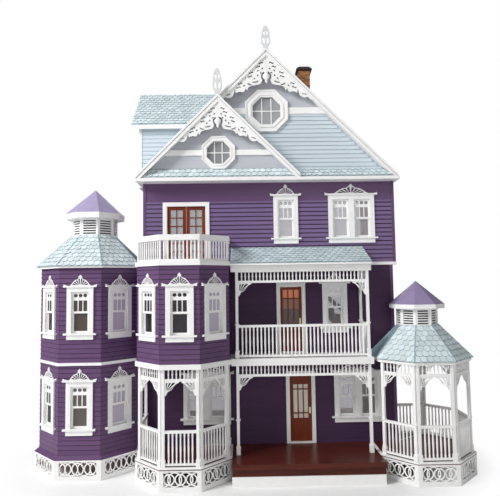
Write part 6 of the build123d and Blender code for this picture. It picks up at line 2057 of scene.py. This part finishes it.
@dataclass
class Studio:
    """Floor, world, lights and camera."""

    # Name, place, aim, width and power of each lamp.
    lights: tuple[tuple[str, Vector, Vector, float, float], ...] = (
        ("key", Vector((-2.25, -1.55, 2.3)), Vector((-0.1, 0.0, 0.55)), 1.3, 98.0),
        ("fill", Vector((0.9, -3.0, 1.3)), Vector((0.0, 0.0, 0.5)), 2.0, 17.0),
        ("rear", Vector((0.3, 2.7, 1.5)), Vector((0.0, 0.0, 0.5)), 2.0, 30.0),
    )
    # Camera as solved from the picture.
    camera_at: tuple[float, float, float] = (-0.00876, -1.4695, 0.4794)  # metres
    camera_yaw: float = 0.816  # degrees, to the right
    camera_pitch: float = 3.927  # degrees, up
    camera_roll: float = -0.823  # degrees
    camera_lens: float = 36.47  # millimetres
    camera_sensor: float = 36.0  # millimetres
    camera_far: float = 50.0  # metres, the farthest it sees
    floor_half: float = 6.0  # half the side of the floor
    floor_z: float = -0.0002  # the floor lies just under the base
    # Makes the patch round the house a circle.
    floor_shrink: tuple[float, float, float] = (1.0 / 0.60, 1.0 / 0.44, 1.0)
    fade: Span = (0.80, 1.15)  # reach over which that patch turns into backdrop
    world_glow: float = 0.20  # light of the surroundings

    def floor(self) -> None:
        """Adds a pale floor under the house."""
        signs = ((-1, -1), (1, -1), (1, 1), (-1, 1))
        mesh = bpy.data.meshes.new("studio_floor")
        corners = [(x * self.floor_half, y * self.floor_half, self.floor_z) for x, y in signs]
        mesh.from_pydata(corners, [], [(0, 1, 2, 3)])
        mesh.materials.append(self.floor_paint())
        made = bpy.data.objects.new("studio_floor", mesh)
        bpy.context.scene.collection.objects.link(made)
        made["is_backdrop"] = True

    def floor_paint(self) -> bpy.types.Material:
        """Makes a white that takes a shadow near the house and fades into the backdrop.

        Returns:
            The material.
        """
        graph = Graph("studio_floor")
        place = graph.node("TexCoord").outputs["Object"]
        shrunk = graph.node("Mapping", Vector=place, Scale=self.floor_shrink).outputs["Vector"]
        far = graph.node("VectorMath", Vector=shrunk)
        far.operation = "LENGTH"
        fade = graph.node("MapRange", Value=far.outputs["Value"])
        fade.inputs["From Min"].default_value, fade.inputs["From Max"].default_value = self.fade
        fade.interpolation_type = "SMOOTHSTEP"
        seen = graph.node("LightPath").outputs["Is Camera Ray"]
        share = graph.node("Math")
        share.operation = "MULTIPLY"
        graph.tree.links.new(fade.outputs["Result"], share.inputs[0])
        graph.tree.links.new(seen, share.inputs[1])
        paint = graph.node("BsdfDiffuse", Color=(0.9, 0.9, 0.9, 1.0))
        glow = graph.node("Emission", Color=(1.0, 1.0, 1.0, 1.0), Strength=1.0)
        mix = graph.node("MixShader", Fac=share.outputs["Value"])
        graph.tree.links.new(paint.outputs["BSDF"], mix.inputs[1])
        graph.tree.links.new(glow.outputs["Emission"], mix.inputs[2])
        return graph.close(mix.outputs["Shader"])

    def world(self) -> None:
        """Makes a white backdrop for the camera and a softer grey for the light."""
        world = bpy.data.worlds.new("studio_world")
        bpy.context.scene.world = world
        world.use_nodes = True
        tree = world.node_tree
        tree.nodes.clear()
        path = tree.nodes.new("ShaderNodeLightPath")
        mix = tree.nodes.new("ShaderNodeMixShader")
        tree.links.new(path.outputs["Is Camera Ray"], mix.inputs["Fac"])
        for socket, strength in ((1, self.world_glow), (2, 1.0)):
            light = tree.nodes.new("ShaderNodeBackground")
            light.inputs["Strength"].default_value = strength
            light.inputs["Color"].default_value = (1.0, 1.0, 1.0, 1.0)
            tree.links.new(light.outputs["Background"], mix.inputs[socket])
        out = tree.nodes.new("ShaderNodeOutputWorld")
        tree.links.new(mix.outputs["Shader"], out.inputs["Surface"])

    def lamps(self) -> None:
        """Adds the soft area lights."""
        for name, place, aim, size, power in self.lights:
            light = bpy.data.lights.new(f"light_{name}", "AREA")
            light.shape = "DISK"
            light.size = size
            light.energy = power
            made = bpy.data.objects.new(f"light_{name}", light)
            made.location = place
            made.rotation_mode = "QUATERNION"
            made.rotation_quaternion = (aim - place).to_track_quat("-Z", "Y")
            bpy.context.scene.collection.objects.link(made)

    def camera(self) -> None:
        """Sets the camera as solved from the picture."""
        yaw, pitch, roll = degrees(self.camera_yaw, self.camera_pitch, self.camera_roll)
        ahead = Vector((math.sin(yaw) * math.cos(pitch), math.cos(yaw) * math.cos(pitch), math.sin(pitch)))
        right = Vector((math.cos(yaw), -math.sin(yaw), 0.0))
        above = right.cross(ahead)
        turned = right * math.cos(roll) + above * math.sin(roll)
        above = above * math.cos(roll) - right * math.sin(roll)
        data = bpy.data.cameras.new("camera")
        data.lens = self.camera_lens
        data.sensor_width = self.camera_sensor
        data.clip_end = self.camera_far
        made = bpy.data.objects.new("camera", data)
        made.matrix_world = Matrix((turned, above, -ahead)).transposed().to_4x4()
        made.location = self.camera_at
        bpy.context.scene.collection.objects.link(made)
        bpy.context.scene.camera = made

    def build(self) -> None:
        """Sets up the whole studio."""
        self.floor()
        self.world()
        self.lamps()
        self.camera()
        bpy.context.scene.view_settings.view_transform = "Standard"


def main() -> None:
    """Dresses and builds every sub-assembly, then the studio."""
    logging.basicConfig(level=logging.INFO, format="%(message)s")
    bay_low, bay_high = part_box("bay_walls")
    half = (bay_high.x - bay_low.x) / 2
    bay = Octagon((bay_low.x + bay_high.x) / 2, bay_low.y + half)
    tower = Octagon.round_cap("tower_cap")
    gazebo = Octagon.round_cap("gazebo_cap")
    gables = Gables()
    parts = (
        MainBlock(tower), gables, Dormer(gables), Chimney(gables), Tower(tower), Bay(bay),
        Porch((bay, gazebo)), Gazebo(gazebo), Windows(tower, bay), Doors(),
    )
    for part in parts:
        part.dress()
        part.build()
    Studio().build()
    boxes = {"cad": CAD_BOX, "visual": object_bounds()}
    {name: [list(low), list(high)] for name, (low, high) in boxes.items()}


if __name__ == "__main__":
    main()
